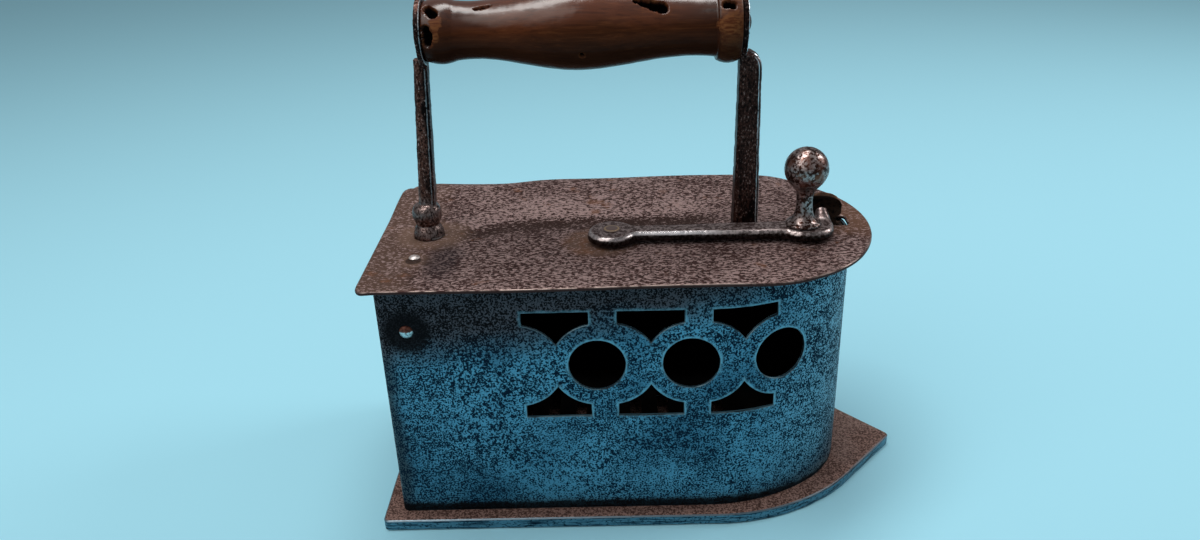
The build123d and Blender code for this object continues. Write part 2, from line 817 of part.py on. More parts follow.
def make_latch_rivet():
    """Pivot of the lever: a low head over the eye, and a peened tail under the lid."""
    grip = lid_thickness + washer_thickness + lever_thickness + latch_running_clearance
    pivot = rivet(
        latch_shank_radius, grip, latch_head_radius, latch_head_rise, post_tail_radius, post_tail_rise
    )
    return Pos(pivot_x, pivot_y, lever_top + latch_running_clearance) * pivot


def make_latch_washer():
    ring = Cylinder(washer_radius, washer_thickness, align=(Align.CENTER, Align.CENTER, Align.MIN))
    ring -= bar_hole(latch_shank_radius + rivet_clearance, washer_thickness)
    return Pos(pivot_x, pivot_y, lid_top) * ring


def make_latch_tongue():
    """End of the lever: turned to the keeper and swept up, so that it wedges under the hood."""
    middle = (lever_base + lever_top) / 2
    ramp_y = tongue_tip_y - tongue_ramp
    path = Plane.YZ * (
        Line((knob_y, middle), (ramp_y, middle))
        + TangentArc((ramp_y, middle), (tongue_tip_y, middle + tongue_lift), tangent=(1, 0))
    )
    start = Plane(origin=(0, knob_y, middle), x_dir=(1, 0, 0), z_dir=(0, 1, 0))
    section = start * RectangleRounded(tongue_width, lever_thickness, tongue_corner_radius)
    finger = Pos(tongue_x, 0, 0) * sweep(section, path=path)
    round_end = tongue_tip_y - tongue_width / 2
    plan = Pos(tongue_x, round_end) * Circle(tongue_width / 2)
    plan += Pos(tongue_x, round_end) * Rectangle(tongue_width, sole_width, align=(Align.CENTER, Align.MAX))
    return finger & Pos(0, 0, lid_top) * extrude(plan, hood_rise)


def make_latch_lever():
    """Flat lever: pivot eye, a bar that widens, the knob's seat and the tongue."""
    axis = Vector(knob_x - pivot_x, knob_y - pivot_y).normalized()
    across = Vector(-axis.Y, axis.X)
    pivot = Vector(pivot_x, pivot_y)
    seat = Vector(knob_x, knob_y)
    corners = [
        pivot - across * lever_eye_bar,
        seat - across * lever_seat_bar,
        seat + across * lever_seat_bar,
        pivot + across * lever_eye_bar,
    ]
    plan = make_face(Polyline(*corners, close=True))
    plan += Pos(pivot_x, pivot_y) * Circle(lever_eye_radius)
    plan += Pos(knob_x + lever_seat_stretch / 2, knob_y) * SlotCenterToCenter(
        lever_seat_stretch, 2 * lever_seat_radius
    )
    webs = plan.vertices().filter_by_position(Axis.X, pivot_x, knob_x - lever_edge_radius)
    plan = fillet(webs, lever_web_radius)
    blank = Pos(0, 0, lever_base) * extrude(plan, lever_thickness)
    blank = fillet(blank.edges().group_by(Axis.Z)[-1], lever_edge_radius)
    lever = blank + make_latch_tongue()
    lever -= Pos(pivot_x, pivot_y, lever_base) * bar_hole(
        latch_shank_radius + latch_running_clearance, lever_thickness
    )
    lever -= Pos(knob_x, knob_y, lever_base) * bar_hole(
        knob_tenon_radius + rivet_clearance, lever_thickness
    )
    return lever


def make_latch_knob():
    """Turned knob: a spreading foot on the lever, a slim stem and a ball, with a tenon below."""
    ball_centre = knob_height - knob_ball_radius
    neck = radians(knob_neck_angle)
    neck_point = (knob_ball_radius * cos(neck), ball_centre - knob_ball_radius * sin(neck))
    stem_point = (knob_stem_radius, knob_stem_height)
    knob = turned(
        Line((0, -lever_thickness), (knob_tenon_radius, -lever_thickness)),
        Line((knob_tenon_radius, -lever_thickness), (knob_tenon_radius, 0)),
        Line((knob_tenon_radius, 0), (knob_foot_radius, 0)),
        Line((knob_foot_radius, 0), (knob_foot_radius, knob_foot_rim)),
        Spline((knob_foot_radius, knob_foot_rim), stem_point, tangents=((-1, knob_foot_slope), (0, 1))),
        Spline(stem_point, neck_point, tangents=((0, 1), (sin(neck), cos(neck)))),
        ThreePointArc(neck_point, (knob_ball_radius, ball_centre), (0, knob_height)),
        Line((0, knob_height), (0, -lever_thickness)),
    )
    return Pos(knob_x, knob_y, lever_top) * knob


nodes = {
    "sole_plate": make_sole_plate(),
    "sole_rivets": make_sole_rivets(),
    "body_shell": make_body_shell(),
    "heel_plate": make_heel_plate(),
    "heel_rivets": make_heel_rivets(),
    "hinge_pin": make_hinge_pin(),
    "fire_grate": make_fire_grate(),
    "grate_feet": make_grate_feet(),
    "latch_keeper": make_latch_keeper(),
    "keeper_rivets": make_keeper_rivets(),
    "lid_plate": make_lid_plate(),
    "hinge_bracket": make_hinge_bracket(),
    "hinge_rivets": make_hinge_rivets(),
    "rear_post": make_rear_post(),
    "rear_post_rove": rove(rear_post_x, rear_post_y, bracket_under),
    "front_post": make_front_post(),
    "front_post_rove": rove(front_post_x, 0, lid_under),
    "handle_grip": make_handle_grip(),
    "handle_rod": make_handle_rod(),
    "latch_rivet": make_latch_rivet(),
    "latch_washer": make_latch_washer(),
    "latch_lever": make_latch_lever(),
    "latch_knob": make_latch_knob(),
}

os.makedirs("parts", exist_ok=True)
for name, shape in nodes.items():
    pieces = shape if isinstance(shape, list) else [shape]
    solids = [solid for piece in pieces for solid in piece.solids()]
    export_step(solids[0] if len(solids) == 1 else Compound(solids), f"parts/{name}.step")
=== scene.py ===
import math

import bmesh
import bpy
from mathutils import Matrix, Vector, noise


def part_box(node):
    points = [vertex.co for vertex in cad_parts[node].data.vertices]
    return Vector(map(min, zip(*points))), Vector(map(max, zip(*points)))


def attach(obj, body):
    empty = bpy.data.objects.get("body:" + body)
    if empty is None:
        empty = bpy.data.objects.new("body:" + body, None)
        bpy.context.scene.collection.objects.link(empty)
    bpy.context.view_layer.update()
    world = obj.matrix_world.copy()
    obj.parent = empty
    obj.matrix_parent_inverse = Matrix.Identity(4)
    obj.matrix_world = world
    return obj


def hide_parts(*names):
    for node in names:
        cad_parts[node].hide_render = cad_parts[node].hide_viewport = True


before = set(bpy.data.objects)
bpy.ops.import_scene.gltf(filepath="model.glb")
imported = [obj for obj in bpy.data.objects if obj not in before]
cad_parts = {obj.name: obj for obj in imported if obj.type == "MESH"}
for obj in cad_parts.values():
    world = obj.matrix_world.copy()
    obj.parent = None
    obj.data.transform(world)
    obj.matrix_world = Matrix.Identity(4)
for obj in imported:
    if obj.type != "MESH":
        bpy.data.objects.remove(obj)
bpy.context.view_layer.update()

# Antique charcoal box iron: the finish of every piece, with worn copies of the pieces that age shows on.
# Lengths are in millimetres and become metres with MM. Colours are linear red, green and blue.

MM = 0.001
X_AXIS = (1.0, 0.0, 0.0)
Y_AXIS = (0.0, 1.0, 0.0)
Z_AXIS = (0.0, 0.0, 1.0)
NEAR_SIDE = (0.0, -1.0, 0.0)
scene = bpy.context.scene

# Photographed view
lens_length = 29.2
sensor_width = 36.0
nearest_view = 10.0
camera_place = (-10.4, -351.0, 257.2)
camera_yaw = -0.0206
camera_pitch = 0.4507
camera_roll = -0.0336

# Stage and light
floor_half = 3000.0
floor_drop = 0.05
floor_colour = (0.36, 0.72, 0.86)
floor_roughness = 0.9
world_colour = (0.84, 0.88, 0.91)
world_strength = 0.30
lamps = {
    "soft_lamp": {"place": (-600, -520, 900), "sides": (900, 900), "power": 3.8, "colour": (1.0, 0.97, 0.93)},
    "top_lamp": {"place": (-120, 120, 1080), "sides": (900, 300), "power": 6.4, "colour": (1.0, 0.99, 0.97)},
    "side_lamp": {"place": (900, 260, 700), "sides": (420, 420), "power": 3.4, "colour": (1.0, 0.98, 0.96)},
}
lamp_target = (0, 0, 90)

# Colours of the box wall and what is inside it; the blue of the wall's steel colours is painted reflection of
# a blue floor
steel_dim_blue_reflection = (0.052, 0.160, 0.238)
steel_bright_blue_reflection = (0.112, 0.300, 0.415)
steel_nose_blue_reflection = (0.185, 0.345, 0.425)
# Vent rims: rubbed steel with a painted highlight and painted blue reflection
rim_steel_highlight_reflection = (0.165, 0.370, 0.470)
cut_dull = (0.030, 0.036, 0.042)
cut_steel = (0.150, 0.240, 0.285)
scale_navy = (0.001, 0.011, 0.026)
corner_brown = (0.050, 0.046, 0.040)
# Band under the lid: soot darkened with painted shade
soot_shaded_grey = (0.074, 0.074, 0.088)
soot_black = (0.003, 0.003, 0.004)
soot_deep = (0.0015, 0.0013, 0.0012)
soot_ash = (0.007, 0.006, 0.005)
grate_brown = (0.008, 0.005, 0.004)
grate_ash = (0.016, 0.014, 0.013)

# Colours of the lid
lid_brown = (0.046, 0.022, 0.020)
lid_pale = (0.362, 0.256, 0.243)
lid_pit = (0.014, 0.008, 0.007)
tan_rust = (0.182, 0.114, 0.084)
orange_rust = (0.170, 0.070, 0.032)
# Painted shade in the lid's trough
trough_shade_brown = (0.028, 0.016, 0.012)
grime_blue = (0.016, 0.014, 0.018)
# Lid edge: rubbed wear with a painted highlight
edge_wear_highlight = (0.270, 0.205, 0.185)

# Colours of the sole
sole_rust = (0.290, 0.180, 0.152)
sole_dark = (0.066, 0.037, 0.031)
sole_pale = (0.272, 0.190, 0.168)
# Sole side: steel with a painted blue reflection of the floor
side_steel_blue_reflection = (0.120, 0.262, 0.345)
# Sole edge: rubbed wear with a painted highlight
sole_edge_wear_highlight = (0.145, 0.198, 0.235)
face_steel = (0.34, 0.32, 0.31)
face_stain = (0.14, 0.10, 0.085)

# Colours of the posts, latch, rivets and hinge pin
post_black = (0.004, 0.002, 0.002)
post_brown = (0.050, 0.021, 0.016)
post_worn = (0.380, 0.270, 0.250)
post_rubbed = (0.125, 0.056, 0.042)
# Painted highlight on the posts' edges towards the toe
post_edge_highlight = (0.780, 0.860, 0.920)
foot_steel = (0.250, 0.195, 0.185)
latch_steel = (0.400, 0.325, 0.312)
latch_brown = (0.042, 0.018, 0.013)
# Painted shade on the lever's sides
latch_side_shade = (0.010, 0.006, 0.005)
latch_red = (0.150, 0.052, 0.030)
# Lever edges: rubbed wear with a painted highlight
latch_wear_highlight = (0.920, 0.870, 0.885)
latch_top_dark = (0.052, 0.030, 0.028)
latch_top_pale = (0.270, 0.215, 0.210)
# Painted shade inside the keeper's hood
keeper_shade_black = (0.007, 0.005, 0.004)
keeper_brown = (0.060, 0.034, 0.024)
keeper_rust = (0.165, 0.082, 0.050)
rivet_bright = (0.680, 0.610, 0.590)
rivet_pit = (0.24, 0.19, 0.175)
rivet_soot = (0.018, 0.015, 0.015)
rivet_dull = (0.120, 0.098, 0.090)
eye_brown = (0.150, 0.105, 0.095)
eye_tan = (0.400, 0.280, 0.170)
# Pin ends: the red-brown is rust and painted reflection, the steel colours are painted reflection of the
# floor
pin_rust_dark_reflection = (0.050, 0.013, 0.008)
pin_rust_red_reflection = (0.150, 0.046, 0.028)
pin_steel_dim_reflection = (0.190, 0.230, 0.240)
pin_steel_pale_reflection = (0.520, 0.640, 0.660)

# Colours of the wood
wood_dark = (0.016, 0.005, 0.003)
wood_brown = (0.052, 0.015, 0.006)
wood_red = (0.105, 0.027, 0.010)
wood_worn = (0.160, 0.048, 0.017)
wood_bare = (0.225, 0.078, 0.028)
# Painted shade in the worm holes
wood_hole_shade = (0.002, 0.001, 0.001)


def low_corner(node):
    """Lowest corner of a node's box, in millimetres."""
    return Vector(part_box(node)[0]) / MM


def high_corner(node):
    return Vector(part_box(node)[1]) / MM


def middle(node):
    return (low_corner(node) + high_corner(node)) / 2


# Places of the frame's pieces
pin = middle("hinge_pin")
lid_top = high_corner("lid_plate").z
lid_half = high_corner("lid_plate").y
lid_rear = low_corner("lid_plate").x
wall_low = low_corner("body_shell")
wall_high = high_corner("body_shell")
wall_half = wall_high.y
keeper_top = high_corner("latch_keeper").z
lever_thickness = 4.0
bar_top = low_corner("latch_lever").z + lever_thickness
rear_post_foot = middle("rear_post_rove")
rear_post_foot.z = lid_top
front_post_foot = middle("front_post_rove")
front_post_foot.z = lid_top
lever_eye = middle("latch_rivet")
near_rivet = Vector((middle("hinge_rivets").x, low_corner("hinge_rivets").y, lid_top))
far_rivet = Vector((near_rivet.x, -near_rivet.y, lid_top))
grip_low = low_corner("handle_grip")
grip_high = high_corner("handle_grip")
grip_axis = middle("handle_grip").z
grip_length = grip_high.x - grip_low.x

# Vents of the wall, on the right-hand side: round ones as middles, three-cornered ones as middles
# with the heading of the wall there, in degrees; the left-hand side mirrors them
vent_line = 70.3
round_vents = [(-18.9, 45.0), (15.7, 45.0), (49.5, 39.4)]
corner_vents = [(-33.7, 45.0, 0.0), (0.9, 45.0, 0.0), (35.4, 43.8, -10.9)]
round_vent_radius = 10.4
corner_vent_half = 12.1
corner_vent_outer = 22.1
corner_vent_arc = 17.3
corner_vent_lag = 14.8
vent_rim_width = 1.5

# Stretches along the iron over which a finish comes in, and stained places of the lid
heel_rust_stretch = (-76.0, -88.0)
rear_post_stretch = (0.0, -40.0)
toe_stretch = (56.0, 80.0)
pale_sole_stretch = (30.0, 90.0)
eye_rust = lever_eye - Vector((5.0, 0.0, 0.0))
nose_rust = Vector((82.0, 6.0, lid_top))
grime_place = (near_rivet.x + 11.0, -14.0, 0.0)
foot_height = 16.5

# Sunken trough of the lid: it leaves the rear post and bends to run beside the middle
trough_start = -76.0
trough_turn = -46.0
trough_end = 34.0
trough_rear_y = -2.0
trough_y = 9.0
trough_depth = 1.4
trough_half = 9.0
trough_run_in = 14.0
trough_run_out = 20.0

# Other bends of the lid, which its seats hold flat: middle and radius of each seat
dip_place = -60.0
dip_depth = 1.7
dip_rear_spread = 26.0
dip_front_spread = 15.0
rim_start = wall_half + 0.6
rim_wave = 0.2
far_wave_length = 11.0
near_wave_length = 17.0
far_corner_drop = 1.2
far_corner_length = 16.0
far_corner_start = 22.0
far_corner_radius = 10.0
near_corner_drop = 0.4
near_corner_length = 6.0
far_lift = 1.9
lift_across = (10.0, 46.0)
lift_along = (78.0, 50.0)
seat_margin = 9.0
seats = [
    (rear_post_foot, 7.0),
    (front_post_foot, 7.0),
    (lever_eye, 10.0),
    (near_rivet, 3.5),
    (far_rivet, 3.5),
]

# Waves of the wall and nicks of the sole
nose_start = 20.0
wall_wave = 0.32
wall_wave_length = 31.0
wall_ripple_length = 13.0
nick_depth = 0.10
low_nick_depth = 0.30
low_edge = 2.6
sole_dent_length = 9.0
sole_chip_length = 3.2

# Keeper's hood, lever's tongue and head of its rivet
hood_round_start = 67.6
hood_round_length = 9.0
hood_spread = 1.8
hood_narrowing = 1.2
hood_lean = 2.2
hood_fall = 5.4
tongue_root = -9.0
tongue_half = 3.1
tongue_middle = high_corner("latch_lever").x - tongue_half
tongue_lift = 1.3
tongue_round = 1.7
rivet_flattening = 0.55

# Worm holes of the grip: each a path of (distance from the rear end, angle from the top towards the
# near side) and its half width along the path; bare patches as distance, angle and spread
worm_holes = {
    "gallery": {"path": [(75.2, 39), (78.4, 43), (81.9, 46.5), (84.4, 49)], "reach": [1.1, 1.6, 2.1, 2.4]},
    "slit": {"path": [(19.3, 34), (21.8, 31.5), (24.2, 28.6)], "reach": [0.7, 0.9, 0.7]},
    "rear_upper": {"path": [(2.4, 35), (4.6, 48)], "reach": [1.6, 1.9]},
    "rear_lower": {"path": [(1.9, 76), (2.4, 88), (2.0, 101)], "reach": [1.7, 2.0, 1.6]},
    "dot": {"path": [(56.2, 117.0), (56.2, 119.0)], "reach": [0.8, 0.8]},
    "bead": {"path": [(106.2, 52), (108.6, 54)], "reach": [1.5, 1.4]},
    "far_side": {"path": [(37.0, -52), (41.0, -57), (44.5, -55)], "reach": [1.1, 1.6, 1.2]},
    "far_bead": {"path": [(107.0, -84), (107.6, -92)], "reach": [1.2, 1.0]},
    "far_dot": {"path": [(78.0, -118), (78.2, -120)], "reach": [0.8, 0.8]},
}
bare_patches = {
    "rear_bead": (5.6, 66.0, 3.2),
    "rear_low": (5.0, 88.0, 3.0),
    "front_bead": (107.4, 80.0, 4.6),
    "rear_far": (5.0, -60.0, 4.0),
}
path_sink = 0.3
hole_depth = 4.2
grip_wear_depth = 0.35
grip_wear_size = 7.0
grip_bore = 2.6

# Meshes: finish slots of a sheet piece, widths for joining and slivers, angles in degrees, and the
# smoothing that finds proud edges
FACE = 0
EDGE = 1
BACK = 2
weld_width = 0.0005
sliver_width = 0.001
flat_angle = 0.3
rubbed_angle = 50
sharp_angle = 35
proud_rounds = 14
proud_depth = 0.22


class Amount:
    """Number that varies over a piece, with plain arithmetic; | gives the larger of two and & the smaller."""

    def __init__(self, tree, socket):
        self.tree = tree
        self.socket = socket

    def __add__(self, other):
        return self.tree.formula("ADD", self, other)

    def __sub__(self, other):
        return self.tree.formula("SUBTRACT", self, other)

    def __rsub__(self, other):
        return self.tree.formula("SUBTRACT", other, self)

    def __mul__(self, other):
        return self.tree.formula("MULTIPLY", self, other)

    def __truediv__(self, other):
        return self.tree.formula("DIVIDE", self, other)

    def __or__(self, other):
        return self.tree.formula("MAXIMUM", self, other)

    def __and__(self, other):
        return self.tree.formula("MINIMUM", self, other)

    def __abs__(self):
        return self.tree.formula("ABSOLUTE", self, 0.0)

    def fade(self, start, end):
        """0 at start and 1 at end, smooth between and level outside."""
        smooth = {"interpolation_type": "SMOOTHSTEP"}
        node = self.tree.add("ShaderNodeMapRange", smooth, Value=self, From_Min=start, From_Max=end)
        return Amount(self.tree, node.outputs["Result"])

    def level(self, low, high):
        """Turns 0 to 1 into low to high."""
        node = self.tree.add("ShaderNodeMapRange", Value=self, To_Min=low, To_Max=high)
        return Amount(self.tree, node.outputs["Result"])

    def spots(self, start, soft):
        """1 where this passes start, with soft edges."""
        return self.fade(start - soft, start + soft)

    def ragged(self, pattern, reach):
        """This, shifted both ways by up to reach after a pattern."""
        return self + pattern.level(-reach, reach)


class Tree:
    """Node tree of a finish or of a shape."""

    def __init__(self, tree):
        self.nodes = tree.nodes
        self.links = tree.links

    def put(self, socket, value):
        """Links a socket to another one, or sets its plain value."""
        if isinstance(value, Amount):
            value = value.socket
        if isinstance(value, bpy.types.NodeSocket):
            self.links.new(value, socket)
        elif socket.type == "RGBA":
            socket.default_value = (*value, 1.0)
        else:
            socket.default_value = value

    def add(self, kind, settings=None, **inputs):
        """New node with its settings and inputs; a space in an input's name is written _."""
        node = self.nodes.new(kind)
        for name, value in (settings or {}).items():
            setattr(node, name, value)
        for name, value in inputs.items():
            self.put(node.inputs[name.replace("_", " ")], value)
        return node

    def formula(self, operation, first, second):
        node = self.add("ShaderNodeMath", {"operation": operation})
        self.put(node.inputs[0], first)
        self.put(node.inputs[1], second)
        return Amount(self, node.outputs[0])

    def vector(self, operation, first, second):
        """Vector arithmetic, which gives a vector or a number."""
        node = self.add("ShaderNodeVectorMath", {"operation": operation})
        self.put(node.inputs[0], first)
        self.put(node.inputs["Scale" if operation == "SCALE" else 1], second)
        if operation in ("DISTANCE", "DOT_PRODUCT"):
            return Amount(self, node.outputs["Value"])
        return node.outputs["Vector"]


class Finish(Tree):
    """One procedural finish, read on the piece's Object coordinates in millimetres."""

    def __init__(self, name, specular=0.5):
        self.material = bpy.data.materials.new(name)
        self.material.use_nodes = True
        super().__init__(self.material.node_tree)
        self.shader = self.nodes["Principled BSDF"]
        self.shader.inputs["Specular IOR Level"].default_value = specular
        coordinates = self.add("ShaderNodeTexCoord")
        self.facing = coordinates.outputs["Normal"]
        self.place = self.vector("SCALE", coordinates.outputs["Object"], 1 / MM)

    def join(self, *coordinates):
        """Point from three coordinates."""
        node = self.add("ShaderNodeCombineXYZ")
        for socket, value in zip(node.inputs, coordinates):
            self.put(socket, value)
        return node.outputs["Vector"]

    def along(self, axis):
        """Distance along X, Y or Z."""
        return self.vector("DOT_PRODUCT", self.place, axis)

    def reach(self, point):
        """Distance from a point."""
        return self.vector("DISTANCE", self.place, point)

    def towards(self, axis):
        """Share of the surface's direction that points along an axis."""
        return self.vector("DOT_PRODUCT", self.facing, axis)

    def facing_up(self, start, end):
        """0 where the surface's upward share is start, 1 where it is end."""
        return self.towards(Z_AXIS).fade(start, end)

    def cloud(self, size, detail=2.0, stretch=(1, 1, 1), shift=0.0, rough=0.6, twist=0.0):
        """Cloudy pattern from 0 to 1 that repeats about once in each size."""
        steps = [1 / (size * factor) for factor in stretch]
        shifts = (shift, shift, shift)
        mapping = self.add("ShaderNodeMapping", Vector=self.place, Location=shifts, Scale=steps)
        pattern = self.add(
            "ShaderNodeTexNoise",
            Vector=mapping.outputs["Vector"],
            Scale=1.0,
            Detail=detail,
            Roughness=rough,
            Distortion=twist,
        )
        return Amount(self, pattern.outputs["Fac"])

    def blend(self, factor, first, second):
        """First colour at 0, second at 1."""
        node = self.add("ShaderNodeMix", {"data_type": "RGBA"})
        for index, value in ((0, factor), (6, first), (7, second)):
            self.put(node.inputs[index], value)
        return node.outputs[2]

    def attribute(self, name):
        """Mask that the mesh carries on its points."""
        return Amount(self, self.add("ShaderNodeAttribute", {"attribute_name": name}).outputs["Fac"])

    def relief(self, height, depth):
        """Fine bumps of the given depth."""
        node = self.add("ShaderNodeBump", Distance=depth * MM, Height=height)
        self.put(self.shader.inputs["Normal"], node.outputs["Normal"])

    def done(self, colour, metallic, roughness):
        self.put(self.shader.inputs["Base Color"], colour)
        self.put(self.shader.inputs["Metallic"], metallic)
        self.put(self.shader.inputs["Roughness"], roughness)
        return self.material


def vent_gaps(finish, x, beside, rise):
    """Distances along the wall from the nearest round vent's edge and the nearest three-cornered one's."""
    place = finish.join(x, beside, rise)
    round_gap = wall_half
    for vent_x, vent_y in round_vents:
        distance = finish.vector("DISTANCE", place, (vent_x, vent_y, 0.0))
        round_gap = (distance - round_vent_radius) & round_gap
    corner_gap = wall_half
    for vent_x, vent_y, heading in corner_vents:
        turn = math.radians(heading)
        offset = finish.vector("SUBTRACT", place, (vent_x, vent_y, 0.0))
        aside = abs(finish.vector("DOT_PRODUCT", offset, (math.cos(turn), math.sin(turn), 0.0)))
        arc = finish.vector("DISTANCE", finish.join(aside, rise, 0.0), (corner_vent_lag, 0.0, 0.0))
        beyond = (aside - corner_vent_half) | (rise - corner_vent_outer) | (corner_vent_arc - arc)
        corner_gap = beyond & corner_gap
    return round_gap, corner_gap


def lit_and_rubbed_vent_rims(finish, x, beside, height):
    """Rubbed rims with a painted highlight: over the round vents, mostly their upper halves, over the lower
    three-cornered ones and round the upper ones' tops.
    """
    above = height - vent_line
    round_gap, corner_gap = vent_gaps(finish, x, beside, abs(above))
    chips = finish.cloud(2.4, detail=3.0, shift=5.0)
    round_rim = round_gap.ragged(chips, 1.2).fade(vent_rim_width, 0.2)
    round_rim = round_rim * above.fade(-8.0, 1.0).level(0.12, 1.0)
    corner_rim = corner_gap.ragged(chips, 1.2).fade(vent_rim_width, 0.2)
    upper = above.fade(15.5, 18.5) * 0.9
    lower = above.fade(0.0, -1.0) * above.fade(-21.8, -22.6).level(1.0, 0.35)
    return round_rim | (corner_rim * (upper | lower | 0.12))


def wall_finish():
    """Grey sheet with a painted blue reflection, covered in fine black scale, with soot and painted shade
    under the lid, soot round the hinge pin, and painted reflection lightening the nose.
    """
    finish = Finish("speckled_wall_iron", specular=0.05)
    x = finish.along(X_AXIS)
    beside = abs(finish.along(Y_AXIS))
    height = finish.along(Z_AXIS)
    mottle = finish.cloud(15.0, detail=3.0, stretch=(1.7, 1.7, 0.9))
    grain = finish.cloud(0.66, detail=2.5, rough=0.65)
    clots = finish.cloud(3.2, shift=31.0)
    low = height.fade(wall_low.z + 46.0, wall_low.z + 12.0)
    at_nose = x.fade(wall_high.x - 45.0, wall_high.x)
    start = mottle.level(0.61, 0.42) - low * 0.018
    bare = grain.spots(start.ragged(clots, 0.14), 0.035)
    # Tone differs at random and is lighter towards the bottom; towards the nose it is lighter, painted
    # reflection
    tone = finish.cloud(42.0, shift=60.0) + (at_nose * 0.2 + low * 0.07)
    steel = finish.blend(tone.fade(0.32, 0.66), steel_dim_blue_reflection, steel_bright_blue_reflection)
    steel = finish.blend(at_nose * 0.7, steel, steel_nose_blue_reflection)

    # Band under the lid, deeper at the rear: soot and painted shade of the lid's overhang
    soot_and_shade_depth = x.fade(wall_low.x, wall_high.x).level(27.0, 3.0)
    soot_and_lid_shade = (height + soot_and_shade_depth).ragged(mottle, 8.0).fade(wall_high.z - 10.0, wall_high.z + 8.0)
    corner = x.ragged(mottle, 4.0).fade(wall_low.x + 8.0, wall_low.x + 2.0)
    steel = finish.blend(corner * 0.8, steel, corner_brown)
    steel = finish.blend(soot_and_lid_shade, steel, soot_shaded_grey)
    colour = finish.blend(bare, finish.blend(soot_and_lid_shade, scale_navy, soot_black), steel)

    pin_gap = finish.vector("DISTANCE", finish.join(x, beside, height), (pin.x, wall_half, pin.z))
    halo = pin_gap.ragged(grain, 3.0).fade(11.5, 7.0) * 0.9
    # Black band along the wall's foot, a little higher at the nose
    foot_dark_top = (height + at_nose * 2.0).ragged(finish.cloud(4.0, detail=3.0), 1.6)
    foot_dark = foot_dark_top.fade(wall_low.z + 5.0, wall_low.z + 2.8)
    black = halo | (foot_dark * bare.level(1.0, 0.94))
    colour = finish.blend(black, colour, soot_black)
    # Vent rims: rubbed steel with a painted highlight, weaker in the band under the lid
    rim = lit_and_rubbed_vent_rims(finish, x, beside, height) * soot_and_lid_shade.level(0.9, 0.45)
    colour = finish.blend(rim, colour, rim_steel_highlight_reflection)

    clean = (bare | rim) * (1.0 - (black | (soot_and_lid_shade * 0.7)))
    finish.relief(grain, 0.05)
    return finish.done(colour, clean.level(0.0, 0.95), clean.level(0.66, 0.36))


def vent_edge_finish():
    """Cut edges of the wall, rubbed to steel in places."""
    finish = Finish("cut_vent_edge", specular=0.3)
    rubbed = finish.cloud(6.0, detail=4.0).fade(0.36, 0.58)
    return finish.done(finish.blend(rubbed, cut_dull, cut_steel), 0.9, rubbed.level(0.5, 0.34))


def soot_finish():
    """Inside of the box, black with soot."""
    finish = Finish("box_soot", specular=0.1)
    ash = finish.cloud(9.0, detail=4.0).fade(0.60, 0.80)
    finish.relief(finish.cloud(2.4, detail=3.0), 0.25)
    return finish.done(finish.blend(ash, soot_deep, soot_ash), 0.0, ash.level(0.80, 0.95))


def grate_finish():
    """Burnt grate with a little ash on its top."""
    finish = Finish("ashy_grate_iron", specular=0.1)
    ash = finish.facing_up(0.4, 0.9) * finish.cloud(14.0, detail=5.0).fade(0.52, 0.70)
    colour = finish.blend(finish.cloud(4.0, detail=3.0).fade(0.4, 0.7), soot_black, grate_brown)
    finish.relief(finish.cloud(2.0, detail=3.0), 0.2)
    return finish.done(finish.blend(ash, colour, grate_ash), 0.1, ash.level(0.7, 0.95))


